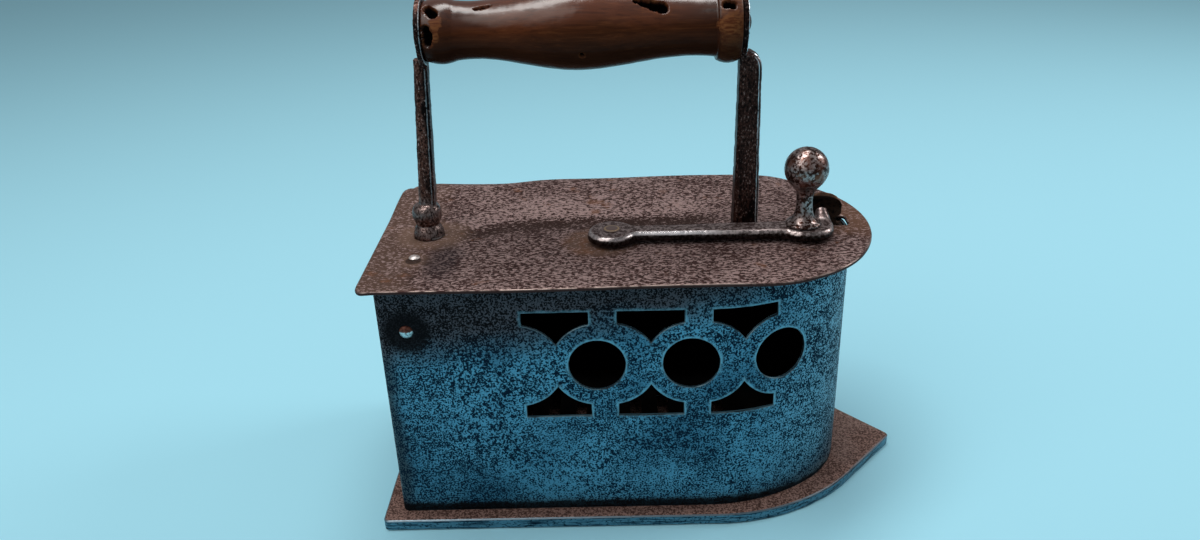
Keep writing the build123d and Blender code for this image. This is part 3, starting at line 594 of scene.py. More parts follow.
def lid_finish():
    """Brown pitted sheet with pale worm-like flecks, tan rust at the rear, and painted shade along a trough
    with painted light on the raised slope behind it.
    """
    finish = Finish("pitted_lid_iron", specular=0.05)
    x = finish.along(X_AXIS)
    y = finish.along(Y_AXIS)
    mottle = finish.cloud(17.0, detail=3.0, shift=3.0)
    flecks = finish.cloud(0.80, detail=2.5, stretch=(1.9, 1.0, 1.0), shift=12.0, rough=0.65, twist=0.3)
    pits = finish.cloud(0.9, detail=3.0, shift=70.0)
    heel = x.ragged(mottle, 12.0).fade(*heel_rust_stretch)
    at_rear_post = finish.reach(rear_post_foot).ragged(mottle, 7.0).fade(19.0, 9.0)
    at_eye = finish.reach(eye_rust).fade(17.0, 9.0)
    at_rivet = finish.reach(near_rivet).fade(10.0, 3.0)
    at_nose = finish.reach(nose_rust).ragged(mottle, 9.0).fade(27.0, 9.0)
    smooth = at_rear_post | (heel * 0.48) | (at_eye * 0.8) | at_rivet | (at_nose * 0.55)

    trough_line = x.fade(trough_start, trough_turn).level(trough_rear_y, trough_y)
    aside = (y - trough_line).ragged(mottle, 2.0)
    in_length = x.fade(trough_start - 2, trough_start + 10) * x.fade(trough_end + 4, trough_end - 14)
    # Painted shade along the trough, with fewer pale flecks; painted light on the raised slope behind it,
    # with more
    shaded = in_length * (aside.fade(-15.0, -3.0) * aside.fade(8.0, -1.5))
    lit_far_slope = in_length * (aside.fade(1.0, 6.0) * aside.fade(26.0, 12.0))

    start = mottle.level(0.45, 0.60) + (smooth | shaded) * 0.09 - lit_far_slope * 0.04
    pale = flecks.spots(start, 0.045)
    colour = finish.blend(pits.fade(0.54, 0.34), lid_brown, lid_pit)
    colour = finish.blend(smooth * 0.72, colour, tan_rust)
    colour = finish.blend(shaded * 0.55, colour, trough_shade_brown)
    colour = finish.blend(pale * 0.9, colour, lid_pale)
    orange = at_eye * finish.cloud(7.0, detail=3.0, shift=33.0).fade(0.40, 0.66)
    stray = finish.cloud(11.0, detail=4.0, shift=90.0).fade(0.62, 0.72)
    colour = finish.blend((orange | (stray | (at_nose * 0.5))) * 0.55, colour, orange_rust)
    grime_gap = finish.vector("DISTANCE", finish.join(x, y * 0.5, 0.0), grime_place)
    grime = grime_gap.ragged(mottle, 4.0).fade(10.0, 3.0)
    colour = finish.blend(grime * 0.55, colour, grime_blue)
    # Painted shadow round the near rivet's head
    rivet_shadow_ring = finish.reach(near_rivet).fade(3.4, 2.6)
    colour = finish.blend(rivet_shadow_ring * 0.75, colour, lid_pit)
    finish.relief(pits * 0.5 + flecks * 0.8, 0.16)
    return finish.done(colour, pale.level(0.15, 0.45), pale.level(0.62, 0.46))


def edge_finish(name, dull, bright, worn, toe_shine):
    """Edge of the lid or the sole, rubbed bright in places, with a painted highlight on its upward faces that
    toe_shine dims at the toe.
    """
    finish = Finish(name, specular=0.1)
    # Rubbed wear and painted highlight together, on upward faces only and dimmed at the toe
    rubbed = finish.cloud(5.0, detail=4.0).fade(worn, worn + 0.22) * finish.facing_up(0.1, 0.6)
    rubbed = rubbed * finish.along(X_AXIS).fade(*toe_stretch).level(1.0, toe_shine)
    finish.relief(finish.cloud(1.6), 0.06)
    colour = finish.blend(rubbed, dull, bright)
    return finish.done(colour, rubbed.level(0.5, 0.95), rubbed.level(0.5, 0.36))


def sole_finish():
    """Rusty brown top and a steely, streaked side whose blue is painted reflection of the floor."""
    finish = Finish("worn_sole_iron", specular=0.05)
    up = finish.facing_up(0.55, 0.9)
    grain = finish.cloud(0.75, detail=3.0, rough=0.7)
    mottle = finish.cloud(20.0, detail=3.0, shift=20.0)
    rusty = grain.spots(mottle.level(0.56, 0.46), 0.05)
    pale = finish.along(X_AXIS).fade(*pale_sole_stretch) * mottle.fade(0.36, 0.60)
    top = finish.blend(rusty, sole_dark, sole_rust)
    top = finish.blend(pale * rusty.level(0.15, 0.6), top, sole_pale)
    streaks = finish.cloud(0.9, detail=3.0, stretch=(14.0, 14.0, 0.8))
    speck = finish.cloud(0.8, detail=3.0, stretch=(1.6, 1.6, 1.0), shift=9.0, rough=0.7)
    clean = streaks.fade(0.34, 0.54) * speck.fade(0.34, 0.50)
    side = finish.blend(clean, scale_navy, side_steel_blue_reflection)
    finish.relief(grain + streaks * 0.5, 0.09)
    return finish.done(finish.blend(up, side, top), up.level(0.9, 0.2), up.level(0.34, 0.60))


def sole_face_finish():
    """Ironing face, rubbed smooth, with long scratches."""
    finish = Finish("rubbed_sole_face")
    scratches = finish.cloud(1.2, detail=3.0, stretch=(60.0, 1.0, 1.0))
    stains = finish.cloud(24.0, detail=5.0).fade(0.45, 0.70)
    finish.relief(scratches, 0.03)
    return finish.done(finish.blend(stains, face_steel, face_stain), 0.95, scratches.level(0.25, 0.48))


def post_finish():
    """Blackened forged bar with brown facets, worn to pale metal on its edges, with a painted highlight on
    the edges that face the toe.
    """
    finish = Finish("forged_post_iron", specular=0.06)
    pits = finish.cloud(0.7, detail=3.0, stretch=(1.0, 1.0, 1.6), rough=0.65)
    facets = finish.cloud(7.0, detail=3.0, stretch=(1.0, 1.0, 3.0), shift=8.0)
    brown = facets.fade(0.34, 0.58) * pits.fade(0.36, 0.54)
    proud = finish.attribute("proud")
    at_rear = finish.along(X_AXIS).fade(*rear_post_stretch)
    towards_toe = finish.towards(X_AXIS)
    # Painted highlight along the edges that face the toe, a little wear on every proud edge
    lit_toe_side = towards_toe.fade(0.20, 0.50) * towards_toe.fade(0.98, 0.84)
    edges = (proud.fade(0.5, 1.0) * 0.16) | (lit_toe_side * proud.fade(0.10, 0.36))
    edges = edges * (pits.fade(0.34, 0.48) * at_rear.level(1.0, 0.4))
    flecks = pits.spots(facets.level(0.70, 0.55), 0.03)
    colour = finish.blend(brown, post_black, finish.blend(at_rear, post_brown, post_rubbed))
    colour = finish.blend(flecks * at_rear.level(0.42, 0.75), colour, post_worn)
    at_foot = finish.reach(rear_post_foot).fade(foot_height + 2.0, foot_height - 2.0)
    burnished = at_foot * (pits.fade(0.38, 0.56) * finish.facing_up(-0.25, 0.35))
    colour = finish.blend(burnished * 0.8, colour, foot_steel)
    colour = finish.blend(edges, colour, post_edge_highlight)
    metal = edges | burnished
    finish.relief(pits, 0.08)
    return finish.done(colour, metal.level(0.35, 0.95), metal.level(0.38, 0.26))


def latch_finish():
    """Burnished steel under brown patina: brown flats, sides darkened with painted shade, and bright edges
    from wear and a painted highlight band.
    """
    finish = Finish("burnished_latch_steel", specular=0.12)
    x = finish.along(X_AXIS)
    height = finish.along(Z_AXIS)
    grain = finish.cloud(1.2, detail=3.0, rough=0.65)
    mottle = finish.cloud(6.0, detail=4.0, shift=50.0)
    patina = grain.spots(mottle.level(0.40, 0.60), 0.06)
    colour = finish.blend(patina, latch_steel, latch_brown)
    on_ball = height.fade(bar_top + 12.0, bar_top + 18.0).level(0.15, 0.8)
    colour = finish.blend(mottle.fade(0.46, 0.60) * on_ball, colour, latch_red)

    on_bar = height.fade(bar_top + 0.6, bar_top + 0.1)
    # Painted shade on the bar's sides
    side = on_bar * finish.facing_up(0.50, 0.22)
    flat_top = on_bar * finish.facing_up(0.84, 0.95)
    # Painted highlight band along the bar's rounded edge, dimmer at the eye and towards the seat
    rounded = on_bar * (finish.facing_up(0.32, 0.56) * finish.facing_up(0.97, 0.86))
    on_tongue = finish.along(Y_AXIS).fade(tongue_root - 1.0, tongue_root + 1.0)
    on_tongue = on_tongue * x.fade(tongue_middle - 4.5, tongue_middle - 3.5)
    beyond_eye = x.fade(lever_eye.x + 4.0, lever_eye.x + 14.0)
    towards_seat = on_bar * x.fade(lever_eye.x + 26.0, lever_eye.x + 50.0)
    rubbed = finish.attribute("proud").fade(0.5, 1.0) * grain.fade(0.30, 0.46)
    rubbed = rubbed * (1.0 - (flat_top | side))
    rubbed = rubbed | (rounded * mottle.fade(0.24, 0.48))
    rubbed = rubbed * (beyond_eye.level(0.3, 1.0) * towards_seat.level(1.0, 0.14))
    rubbed = rubbed * on_tongue.level(1.0, 0.25)

    top = finish.blend(grain.fade(0.44, 0.60), latch_top_dark, latch_top_pale)
    colour = finish.blend(flat_top | (on_tongue * 0.85), colour, top)
    colour = finish.blend(side * 0.9, colour, latch_side_shade)
    colour = finish.blend(rubbed, colour, latch_wear_highlight)
    finish.relief(grain, 0.03)
    rough = rubbed.level(0.30, 0.26) | (flat_top * 0.46)
    return finish.done(colour, flat_top.level(0.95, 0.6), rough)


def latch_rivet_finish():
    """Rivet of the lever, dull brown with a rubbed ring round its head."""
    finish = Finish("ringed_latch_rivet", specular=0.3)
    level_place = finish.vector("MULTIPLY", finish.place, (1.0, 1.0, 0.0))
    radius = finish.vector("DISTANCE", level_place, (lever_eye.x, lever_eye.y, 0.0))
    ring = radius.fade(2.2, 2.4) * radius.fade(3.0, 2.8)
    finish.relief(finish.cloud(1.5, detail=3.0), 0.08)
    return finish.done(finish.blend(ring, eye_brown, eye_tan), ring.level(0.5, 0.85), 0.42)


def keeper_finish():
    """Keeper strap with painted shade inside its hood and painted light on the hood's inner side towards the
    toe; the hood's rim and outside are orange-brown, rust with painted light.
    """
    finish = Finish("rusty_keeper_steel", specular=0.12)
    grain = finish.cloud(1.8, detail=4.0, rough=0.7)
    high = finish.along(Z_AXIS).fade(lid_top + 4.0, lid_top + 8.0)
    outside = finish.towards(Y_AXIS).fade(0.1, 0.5)
    # The hood's upward and outward faces high up take rust and painted light
    rim = high * (finish.facing_up(-0.35, 0.15) | outside)
    rusty = rim * finish.cloud(5.0, detail=4.0, shift=21.0).fade(0.36, 0.64)
    # Painted light on the hood's inner side towards the toe
    lit_inner_side = finish.along(X_AXIS).fade(hood_round_start + 1.0, hood_round_start + 6.0)
    colour = finish.blend(grain.fade(0.42, 0.60), keeper_shade_black, keeper_brown)
    colour = finish.blend(lit_inner_side * grain.fade(0.30, 0.60), colour, keeper_brown)
    colour = finish.blend(rim * 0.75, colour, keeper_brown)
    colour = finish.blend(rusty, colour, keeper_rust)
    finish.relief(grain, 0.10)
    return finish.done(colour, rusty.level(0.3, 0.5), 0.46)


def rivet_finish():
    """Hammered rivet, bright on its crown and dark in its pits."""
    finish = Finish("hammered_rivet_iron")
    mottle = finish.cloud(2.6).fade(0.26, 0.48)
    finish.relief(finish.cloud(1.6), 0.08)
    return finish.done(finish.blend(mottle, rivet_pit, rivet_bright), 0.9, mottle.level(0.50, 0.44))


def dark_rivet_finish():
    """Rivet and rove metal that soot has dulled."""
    finish = Finish("dull_rivet_iron", specular=0.3)
    mottle = finish.cloud(2.4, detail=3.0).fade(0.38, 0.64)
    finish.relief(finish.cloud(1.8), 0.12)
    return finish.done(finish.blend(mottle, rivet_soot, rivet_dull), 0.85, mottle.level(0.52, 0.38))


def pin_finish():
    """Hinge pin ends: upper half red-brown, rust and painted reflection of the lid's underside; lower half
    pale blue, painted reflection of the floor on steel.
    """
    finish = Finish("rusty_hinge_pin", specular=0.3)
    height = finish.along(Z_AXIS).ragged(finish.cloud(3.0, detail=3.0), 1.6)
    # Upper half red-brown: rust and painted reflection; lower half painted reflection of the floor
    rusty = height.fade(pin.z + 0.1, pin.z + 0.7)
    mottle = finish.cloud(1.2, detail=3.0).fade(0.36, 0.56)
    rust = finish.blend(mottle, pin_rust_dark_reflection, pin_rust_red_reflection)
    pale = finish.blend(mottle, pin_steel_dim_reflection, pin_steel_pale_reflection)
    finish.relief(finish.cloud(1.4), 0.1)
    return finish.done(finish.blend(rusty, pale, rust), rusty.level(0.9, 0.3), 0.36)


def grip_profile():
    """Outer outline of the turned grip as (distance, radius), from the full rings of the frame's grip."""
    bore_limit = 4.0
    full_ring = 50
    least_gap = 0.9
    step_height = 0.3
    rings = {}
    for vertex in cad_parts["handle_grip"].data.vertices:
        place = vertex.co / MM
        radius = math.hypot(place.y, place.z - grip_axis)
        if radius > bore_limit:
            rings.setdefault(round(place.x - grip_low.x, 3), []).append(radius)
    outline = []
    for distance, radii in sorted(rings.items()):
        too_close = outline and distance - outline[-1][0] < least_gap
        if len(radii) < full_ring or (too_close and len(radii) < 2 * full_ring):
            continue
        if max(radii) - min(radii) > step_height:
            outline.append((distance, min(radii)))
        outline.append((distance, max(radii)))
    return outline


profile = grip_profile()


def grip_radius(distance):
    for (start, first), (end, second) in zip(profile, profile[1:]):
        if start <= distance <= end:
            return first + (second - first) * (distance - start) / max(end - start, 1e-9)
    return profile[-1][1]


def on_grip(distance, angle, sink=0.0):
    """Point on the grip's surface in millimetres; the angle runs from the top to the near side."""
    radius = grip_radius(distance) - sink
    turn = math.radians(angle)
    return Vector((grip_low.x + distance, -radius * math.sin(turn), grip_axis + radius * math.cos(turn)))


def wood_finish():
    """Dark polished wood with fine grain along the grip, worn pale at the ends, with painted shade on its
    underside and black painted shade in its holes.
    """
    finish = Finish("worn_grip_wood", specular=0.35)
    x = finish.along(X_AXIS)
    grain = finish.cloud(1.0, detail=3.0, stretch=(26.0, 1.0, 1.0))
    figure = finish.cloud(15.0, detail=3.0, stretch=(3.0, 1.0, 1.0), shift=17.0)
    colour = finish.blend(figure.fade(0.30, 0.64), wood_brown, wood_red)
    colour = finish.blend(grain.fade(0.50, 0.70) * 0.4, colour, wood_worn)
    colour = finish.blend(grain.fade(0.46, 0.34) * 0.35, colour, wood_dark)
    # Painted shade on the grip's underside
    colour = finish.blend(finish.facing_up(0.2, -0.6) * 0.8, colour, wood_dark)
    rear_end = x.fade(grip_low.x + 34.0, grip_low.x + 8.0)
    front_end = x.fade(grip_high.x - 30.0, grip_high.x - 9.0)
    colour = finish.blend((rear_end | front_end) * 0.45, colour, wood_dark)

    chips = finish.cloud(4.5, detail=4.0)
    bare = 0.0
    for distance, angle, spread in bare_patches.values():
        patch = finish.reach(on_grip(distance, angle)).ragged(chips, 3.6)
        bare = patch.fade(spread, spread * 0.6) | bare
    rim = finish.attribute("rim") * finish.cloud(2.6, shift=3.0).fade(0.40, 0.60)
    bare = (bare * 0.75) | (rim * 0.45)
    on_bead = x.fade(grip_low.x + 104.0, grip_low.x + 105.0) * finish.towards(NEAR_SIDE).fade(0.2, 0.6)
    bare = bare | (on_bead * finish.facing_up(-0.6, 0.2).level(0.1, 0.5))
    fibres = finish.cloud(0.7, detail=3.0, stretch=(7.0, 1.0, 1.0), shift=4.0).fade(0.38, 0.62)
    colour = finish.blend(bare, colour, finish.blend(fibres, wood_red, wood_bare))
    # Painted shade in the worm holes
    hollow = finish.attribute("hollow").fade(0.04, 0.45)
    colour = finish.blend(hollow, colour, wood_hole_shade)

    finish.relief(grain * 0.4 + finish.cloud(3.2) * 0.6, 0.04)
    polish = finish.cloud(4.0, detail=3.0, stretch=(4.0, 1.0, 1.0)).level(0.15, 0.29)
    matt = bare | hollow
    gloss = finish.facing_up(0.1, 0.75) * (1.0 - matt)
    finish.put(finish.shader.inputs["Specular IOR Level"], gloss.level(0.03, 0.75))
    return finish.done(colour, 0.0, polish | (matt * 0.8))


finishes = {
    "wall": wall_finish(),
    "vent_edge": vent_edge_finish(),
    "soot": soot_finish(),
    "grate": grate_finish(),
    "lid": lid_finish(),
    "lid_edge": edge_finish("rubbed_lid_edge", lid_brown, edge_wear_highlight, worn=0.36, toe_shine=1.0),
    "sole_edge": edge_finish("rubbed_sole_edge", sole_dark, sole_edge_wear_highlight, worn=0.18, toe_shine=0.35),
    "sole": sole_finish(),
    "sole_face": sole_face_finish(),
    "post": post_finish(),
    "latch": latch_finish(),
    "latch_rivet": latch_rivet_finish(),
    "keeper": keeper_finish(),
    "rivet": rivet_finish(),
    "dark_rivet": dark_rivet_finish(),
    "pin": pin_finish(),
    "wood": wood_finish(),
}


def new_piece(name, mesh, *names):
    """Object at the origin with the named finishes on its slots."""
    piece = bpy.data.objects.new(name, mesh)
    scene.collection.objects.link(piece)
    mesh.materials.clear()
    for finish in names:
        mesh.materials.append(finishes[finish])
    return piece


def evaluated(piece):
    """Plain mesh of a piece with its modifiers worked out."""
    bpy.context.view_layer.update()
    graph = bpy.context.evaluated_depsgraph_get()
    return bpy.data.meshes.new_from_object(piece.evaluated_get(graph))


def settled(piece):
    """Replaces a piece's mesh by its evaluated one and removes its modifiers."""
    mesh = evaluated(piece)
    piece.modifiers.clear()
    piece.data = mesh
    mesh.name = piece.name
    return mesh


def merged_mesh(node):
    """Copy of a frame node's mesh with its loose triangles joined, as an editable mesh."""
    work = bmesh.new()
    work.from_mesh(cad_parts[node].data)
    bmesh.ops.remove_doubles(work, verts=work.verts, dist=weld_width * MM)
    return work


def plain_mesh(work, name):
    """Ends the editing of a mesh."""
    mesh = bpy.data.meshes.new(name)
    work.to_mesh(mesh)
    work.free()
    return mesh


def no_slivers(work):
    bmesh.ops.dissolve_degenerate(work, dist=sliver_width * MM, edges=work.edges)


def crisp(mesh):
    """Smooth shading that keeps the sharp edges."""
    mesh.shade_smooth()
    mesh.set_sharp_from_angle(angle=math.radians(sharp_angle))


def stand_in(piece, node, body):
    """The piece rides on a body in place of a frame node."""
    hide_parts(node)
    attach(piece, body)


def smooth_step(value, start, end):
    share = min(max((value - start) / (end - start), 0.0), 1.0)
    return share * share * (3 - 2 * share)


def sheet_piece(node, body, names, edge_width, axes, step, bend, pick):
    """Copy of a sheet piece with rounded edges, cut into a grid, bent, and finished face by face."""
    work = merged_mesh(node)
    bmesh.ops.dissolve_limit(work, angle_limit=math.radians(flat_angle), verts=work.verts, edges=work.edges)
    piece = new_piece("worn_" + node, plain_mesh(work, node), *names)
    rub = piece.modifiers.new("rub", "BEVEL")
    rub.width = edge_width * MM
    rub.segments = 2
    rub.limit_method = "ANGLE"
    rub.angle_limit = math.radians(rubbed_angle)
    rub.use_clamp_overlap = False
    rub.material = EDGE
    work = bmesh.new()
    work.from_mesh(settled(piece))
    low, high = (Vector(corner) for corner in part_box(node))
    for axis in axes:
        normal = Vector([1.0 if index == axis else 0.0 for index in range(3)])
        for index in range(1, math.ceil((high[axis] - low[axis]) / (step * MM))):
            cut = low + normal * index * step * MM
            geometry = work.verts[:] + work.edges[:] + work.faces[:]
            bmesh.ops.bisect_plane(work, geom=geometry, dist=1e-7, plane_co=cut, plane_no=normal)
    bmesh.ops.triangulate(work, faces=[face for face in work.faces if len(face.verts) > 4])
    work.normal_update()
    for face in work.faces:
        if face.material_index == FACE:
            face.material_index = pick(face.calc_center_median() / MM, face.normal)
    for vertex in work.verts:
        vertex.co += bend(vertex.co / MM, vertex.normal) * MM
    no_slivers(work)
    mesh = plain_mesh(work, piece.name)
    for finish in names:
        mesh.materials.append(finishes[finish])
    piece.data = mesh
    crisp(mesh)
    stand_in(piece, node, body)


def lid_bend(point, normal):
    """How the old lid has sunk: a trough beside the middle, a dip in the far rim and drooping corners."""
    trough_line = trough_rear_y + (trough_y - trough_rear_y) * smooth_step(point.x, trough_start, trough_turn)
    trough = -trough_depth * math.exp(-(((point.y - trough_line) / trough_half) ** 2))
    after_start = smooth_step(point.x, trough_start, trough_start + trough_run_in)
    trough *= after_start * smooth_step(point.x, trough_end, trough_end - trough_run_out)
    far_rim = smooth_step(point.y, rim_start, lid_half)
    near_rim = smooth_step(-point.y, rim_start, lid_half)
    dip_spread = dip_rear_spread if point.x < dip_place else dip_front_spread
    dip = -dip_depth * math.exp(-(((point.x - dip_place) / dip_spread) ** 2))
    droop = far_rim * (dip + rim_wave * math.sin(point.x / far_wave_length) - rim_wave)
    droop += near_rim * (rim_wave * math.sin(point.x / near_wave_length + 1.0) - rim_wave)
    far_heel = smooth_step(point.x, lid_rear + far_corner_length, lid_rear)
    near_heel = smooth_step(point.x, lid_rear + near_corner_length, lid_rear)
    corner = far_corner_drop * far_heel * smooth_step(point.y, far_corner_start, lid_half)
    corner += near_corner_drop * near_heel * near_rim
    lift = far_lift * smooth_step(point.y, *lift_across) * smooth_step(point.x, *lift_along)
    bend = trough + droop - corner + lift
    for seat, radius in seats:
        gap = math.hypot(point.x - seat.x, point.y - seat.y)
        bend *= smooth_step(gap, radius, radius + seat_margin)
    behind = lid_rear + far_corner_radius - point.x
    beside = point.y - lid_half + far_corner_radius
    if behind > 0.0 and beside > 0.0:
        inwards = 1.0 - max(behind, beside) / math.hypot(behind, beside)
        return Vector((behind * inwards, -beside * inwards, bend))
    return Vector((0.0, 0.0, bend))


def lid_pick(centre, normal):
    """Sooty under the lid, rim finish on its edge."""
    if normal.z < -0.5:
        return BACK
    return FACE if normal.z > 0.5 else EDGE


def wall_outward(point):
    """Direction out of the box at a point of its wall."""
    if point.x < wall_low.x + 1.5:
        return Vector((-1.0, 0.0, 0.0))
    return Vector((max(point.x - nose_start, 0.0), point.y, 0.0)).normalized()


def wall_bend(point, normal):
    """Slight waves of the hand-beaten wall, none at its seams."""
    ripples = noise.noise(point / wall_ripple_length + Vector((4, 9, 2)))
    waves = noise.noise(point / wall_wave_length) + 0.5 * ripples
    calm = smooth_step(point.z, wall_low.z + 2, wall_low.z + 16)
    calm *= smooth_step(point.z, wall_high.z, wall_high.z - 16)
    before_nose = smooth_step(point.x, wall_high.x - 2, wall_high.x - 18)
    calm *= smooth_step(point.x, wall_low.x + 18, wall_low.x + 34) * before_nose
    return wall_outward(point) * wall_wave * waves * calm


def wall_pick(centre, normal):
    """Sooty inside the box."""
    return BACK if wall_outward(centre).dot(normal) < 0 and abs(normal.z) < 0.5 else FACE


def still(point, normal):
    return Vector((0.0, 0.0, 0.0))


def heel_pick(centre, normal):
    """Sooty inside the box and on the top edge."""
    return BACK if normal.x > 0.5 or normal.z > 0.5 else FACE


def sole_bend(point, normal):
    """Nicks and dents round the sole's side, never outwards."""
    if abs(normal.z) > 0.9:
        return Vector((0.0, 0.0, 0.0))
    inward = -Vector((normal.x, normal.y, 0.0))
    dents = noise.noise(point / sole_dent_length) + 0.6 * noise.noise(point / sole_chip_length)
    low = smooth_step(point.z, low_edge, 0.0)
    return inward * (nick_depth + low_nick_depth * low) * max(dents, 0.0)


def sole_pick(centre, normal):
    """Rubbed face below, rubbed edge round the top."""
    if normal.z < -0.5:
        return BACK
    return EDGE if 0.3 < normal.z < 0.95 else FACE


sheet_piece(
    "lid_plate", "lid", ("lid", "lid_edge", "soot"),
    edge_width=0.45, axes=(0, 1), step=3.0, bend=lid_bend, pick=lid_pick,
)
sheet_piece(
    "body_shell", "base", ("wall", "vent_edge", "soot"),
    edge_width=0.30, axes=(0, 2), step=4.0, bend=wall_bend, pick=wall_pick,
)
sheet_piece(
    "heel_plate", "base", ("wall", "vent_edge", "soot"),
    edge_width=0.30, axes=(1, 2), step=8.0, bend=still, pick=heel_pick,
)
sheet_piece(
    "sole_plate", "base", ("sole", "sole_edge", "sole_face"),
    edge_width=0.18, axes=(0, 1), step=3.0, bend=sole_bend, pick=sole_pick,
)


def hammered(point, size, depth):
    """Depth of the dents and pits at a point, never above the surface."""
    dents = noise.noise(point / (size * MM))
    pits = noise.noise(point / (0.28 * size * MM) + Vector((7, 3, 5)))
    return -depth * MM * (0.5 + 0.5 * dents + 0.5 * max(pits, 0.0))


def dent(mesh, size, depth):
    """Sinks hammer marks into a mesh."""
    moves = [vertex.normal * hammered(vertex.co, size, depth) for vertex in mesh.vertices]
    for vertex, move in zip(mesh.vertices, moves):
        vertex.co += move


def smoothing(piece, rounds):
    modifier = piece.modifiers.new("soften", "SMOOTH")
    modifier.factor = 0.5
    modifier.iterations = rounds


def skinned(piece, voxel, rounds):
    """Gives a piece an even, closed skin with softened edges."""
    skin = piece.modifiers.new("skin", "REMESH")
    skin.mode = "VOXEL"
    skin.voxel_size = voxel * MM
    smoothing(piece, rounds)
    return settled(piece)


def forged_piece(node, body, finish, voxel, size, depth, rounds=5, shape=None):
    """Copy of a bar or turned piece with softened edges, hammer dents and a mask of its proud edges."""
    piece = new_piece("worn_" + node, plain_mesh(merged_mesh(node), node), finish)
    mesh = skinned(piece, voxel, rounds)
    if shape:
        for vertex in mesh.vertices:
            vertex.co += shape(vertex.co / MM) * MM
    smoothing(piece, proud_rounds)
    rubbed = evaluated(piece)
    piece.modifiers.clear()
    proud = []
    for vertex, worn in zip(mesh.vertices, rubbed.vertices):
        drop = (vertex.co - worn.co).dot(vertex.normal) / (proud_depth * MM)
        proud.append(min(max(drop, 0.0), 1.0))
    bpy.data.meshes.remove(rubbed)
    dent(mesh, size, depth)
    mesh.attributes.new("proud", "FLOAT", "POINT").data.foreach_set("value", proud)
    mesh.shade_smooth()
    stand_in(piece, node, body)


def tongue_shape(point):
    """Lifts the lever's tongue and rounds its top across its width."""
    tip = smooth_step(point.y, tongue_root - 2.0, tongue_root + 3.0)
    tip *= smooth_step(point.x, tongue_middle - 4.0, tongue_middle - 3.0)
    aside = min(((point.x - tongue_middle) / tongue_half) ** 2, 1.0)
    upper = smooth_step(point.z, bar_top - 3.0, bar_top)
    return Vector((0.0, 0.0, (tongue_lift - tongue_round * aside) * tip * upper))


def rivet_shape(point):
    """Flattens the head of the lever's rivet."""
    return Vector((0.0, 0.0, -rivet_flattening * max(point.z - bar_top, 0.0)))


def hood_shape(point):
    """Rounds the front corner of the keeper's hood down and towards the lever, like a scoop."""
    high = smooth_step(point.z, lid_top + 2.0, keeper_top)
    front = min(max((point.x - hood_round_start) / hood_round_length, 0.0), 1.0)
    fall = 1.0 - math.sqrt(1.0 - front * front)
    wide = smooth_step(point.z, lid_top, lid_top + 2.0)
    spread = front * wide * (hood_spread - hood_narrowing * high)
    return Vector((spread, -hood_lean * fall * high, -hood_fall * fall * high))


forged_piece("rear_post", "lid", "post", voxel=0.40, size=3.5, depth=0.30)
forged_piece("front_post", "lid", "post", voxel=0.40, size=3.5, depth=0.34)
forged_piece(
    "latch_lever", "latch", "latch",
    voxel=0.40, size=4.0, depth=0.16, rounds=16, shape=tongue_shape,
)
forged_piece(
    "latch_rivet", "lid", "latch_rivet",
    voxel=0.24, size=2.4, depth=0.06, rounds=2, shape=rivet_shape,
)
forged_piece("latch_knob", "latch", "latch", voxel=0.35, size=3.0, depth=0.16, rounds=3)
forged_piece(
    "latch_keeper", "base", "keeper",
    voxel=0.36, size=3.0, depth=0.18, shape=hood_shape,
)


class Shape(Tree):
    """Geometry tree with a geometry socket at each end and the named inputs."""

    def __init__(self, name, **inputs):
        self.group = bpy.data.node_groups.new(name, "GeometryNodeTree")
        super().__init__(self.group)
        sockets = self.group.interface
        sockets.new_socket("Geometry", in_out="INPUT", socket_type="NodeSocketGeometry")
        sockets.new_socket("Geometry", in_out="OUTPUT", socket_type="NodeSocketGeometry")
        for label, kind in inputs.items():
            sockets.new_socket(label.replace("_", " "), in_out="INPUT", socket_type="NodeSocket" + kind)
        self.given = self.add("NodeGroupInput").outputs
        self.result = self.add("NodeGroupOutput").inputs

    def close(self, geometry):
        """Ends the tree with the finish set on its geometry."""
        finished = self.add("GeometryNodeSetMaterial", Geometry=geometry, Material=self.given["Finish"])
        self.put(self.result["Geometry"], finished.outputs["Geometry"])
        return self.group


def run_tree(piece, group, **values):
    """Runs a geometry tree on a piece with the given inputs and keeps the plain mesh."""
    modifier = piece.modifiers.new(group.name, "NODES")
    modifier.node_group = group
    for item in group.interface.items_tree:
        label = item.name.replace(" ", "_")
        if item.in_out == "INPUT" and label in values:
            modifier[item.identifier] = values[label]
    return settled(piece)


def rivet_tree():
    """Sets one hammered rivet on every point, each turned about its axis by a chance angle."""
    tree = Shape("rivets_on_points", Rivet="Object", Axis="Vector", Seed="Int", Finish="Material")
    source = tree.add("GeometryNodeObjectInfo", Object=tree.given["Rivet"])
    chance = tree.add("FunctionNodeRandomValue", {"data_type": "FLOAT"}, Seed=tree.given["Seed"])
    limits = [socket for socket in chance.inputs if socket.type == "VALUE"]
    limits[1].default_value = 2 * math.pi
    angle = next(socket for socket in chance.outputs if socket.type == "VALUE")
    placed = tree.add(
        "GeometryNodeInstanceOnPoints",
        Points=tree.given["Geometry"],
        Instance=source.outputs["Geometry"],
        Rotation=tree.vector("SCALE", tree.given["Axis"], angle),
    )
    real = tree.add("GeometryNodeRealizeInstances", Geometry=placed.outputs["Instances"])
    return tree.close(real.outputs["Geometry"])


rivets_on_points = rivet_tree()


def islands(work):
    """Groups of joined vertices of an editable mesh."""
    left = set(work.verts)
    groups = []
    while left:
        group = {left.pop()}
        open_ends = list(group)
        while open_ends:
            vertex = open_ends.pop()
            for edge in vertex.link_edges:
                other = edge.other_vert(vertex)
                if other in left:
                    left.discard(other)
                    group.add(other)
                    open_ends.append(other)
        groups.append(group)
    return groups


def box_middle(group):
    corners = [[pick(vertex.co[axis] for vertex in group) for axis in range(3)] for pick in (min, max)]
    return (Vector(corners[0]) + Vector(corners[1])) / 2


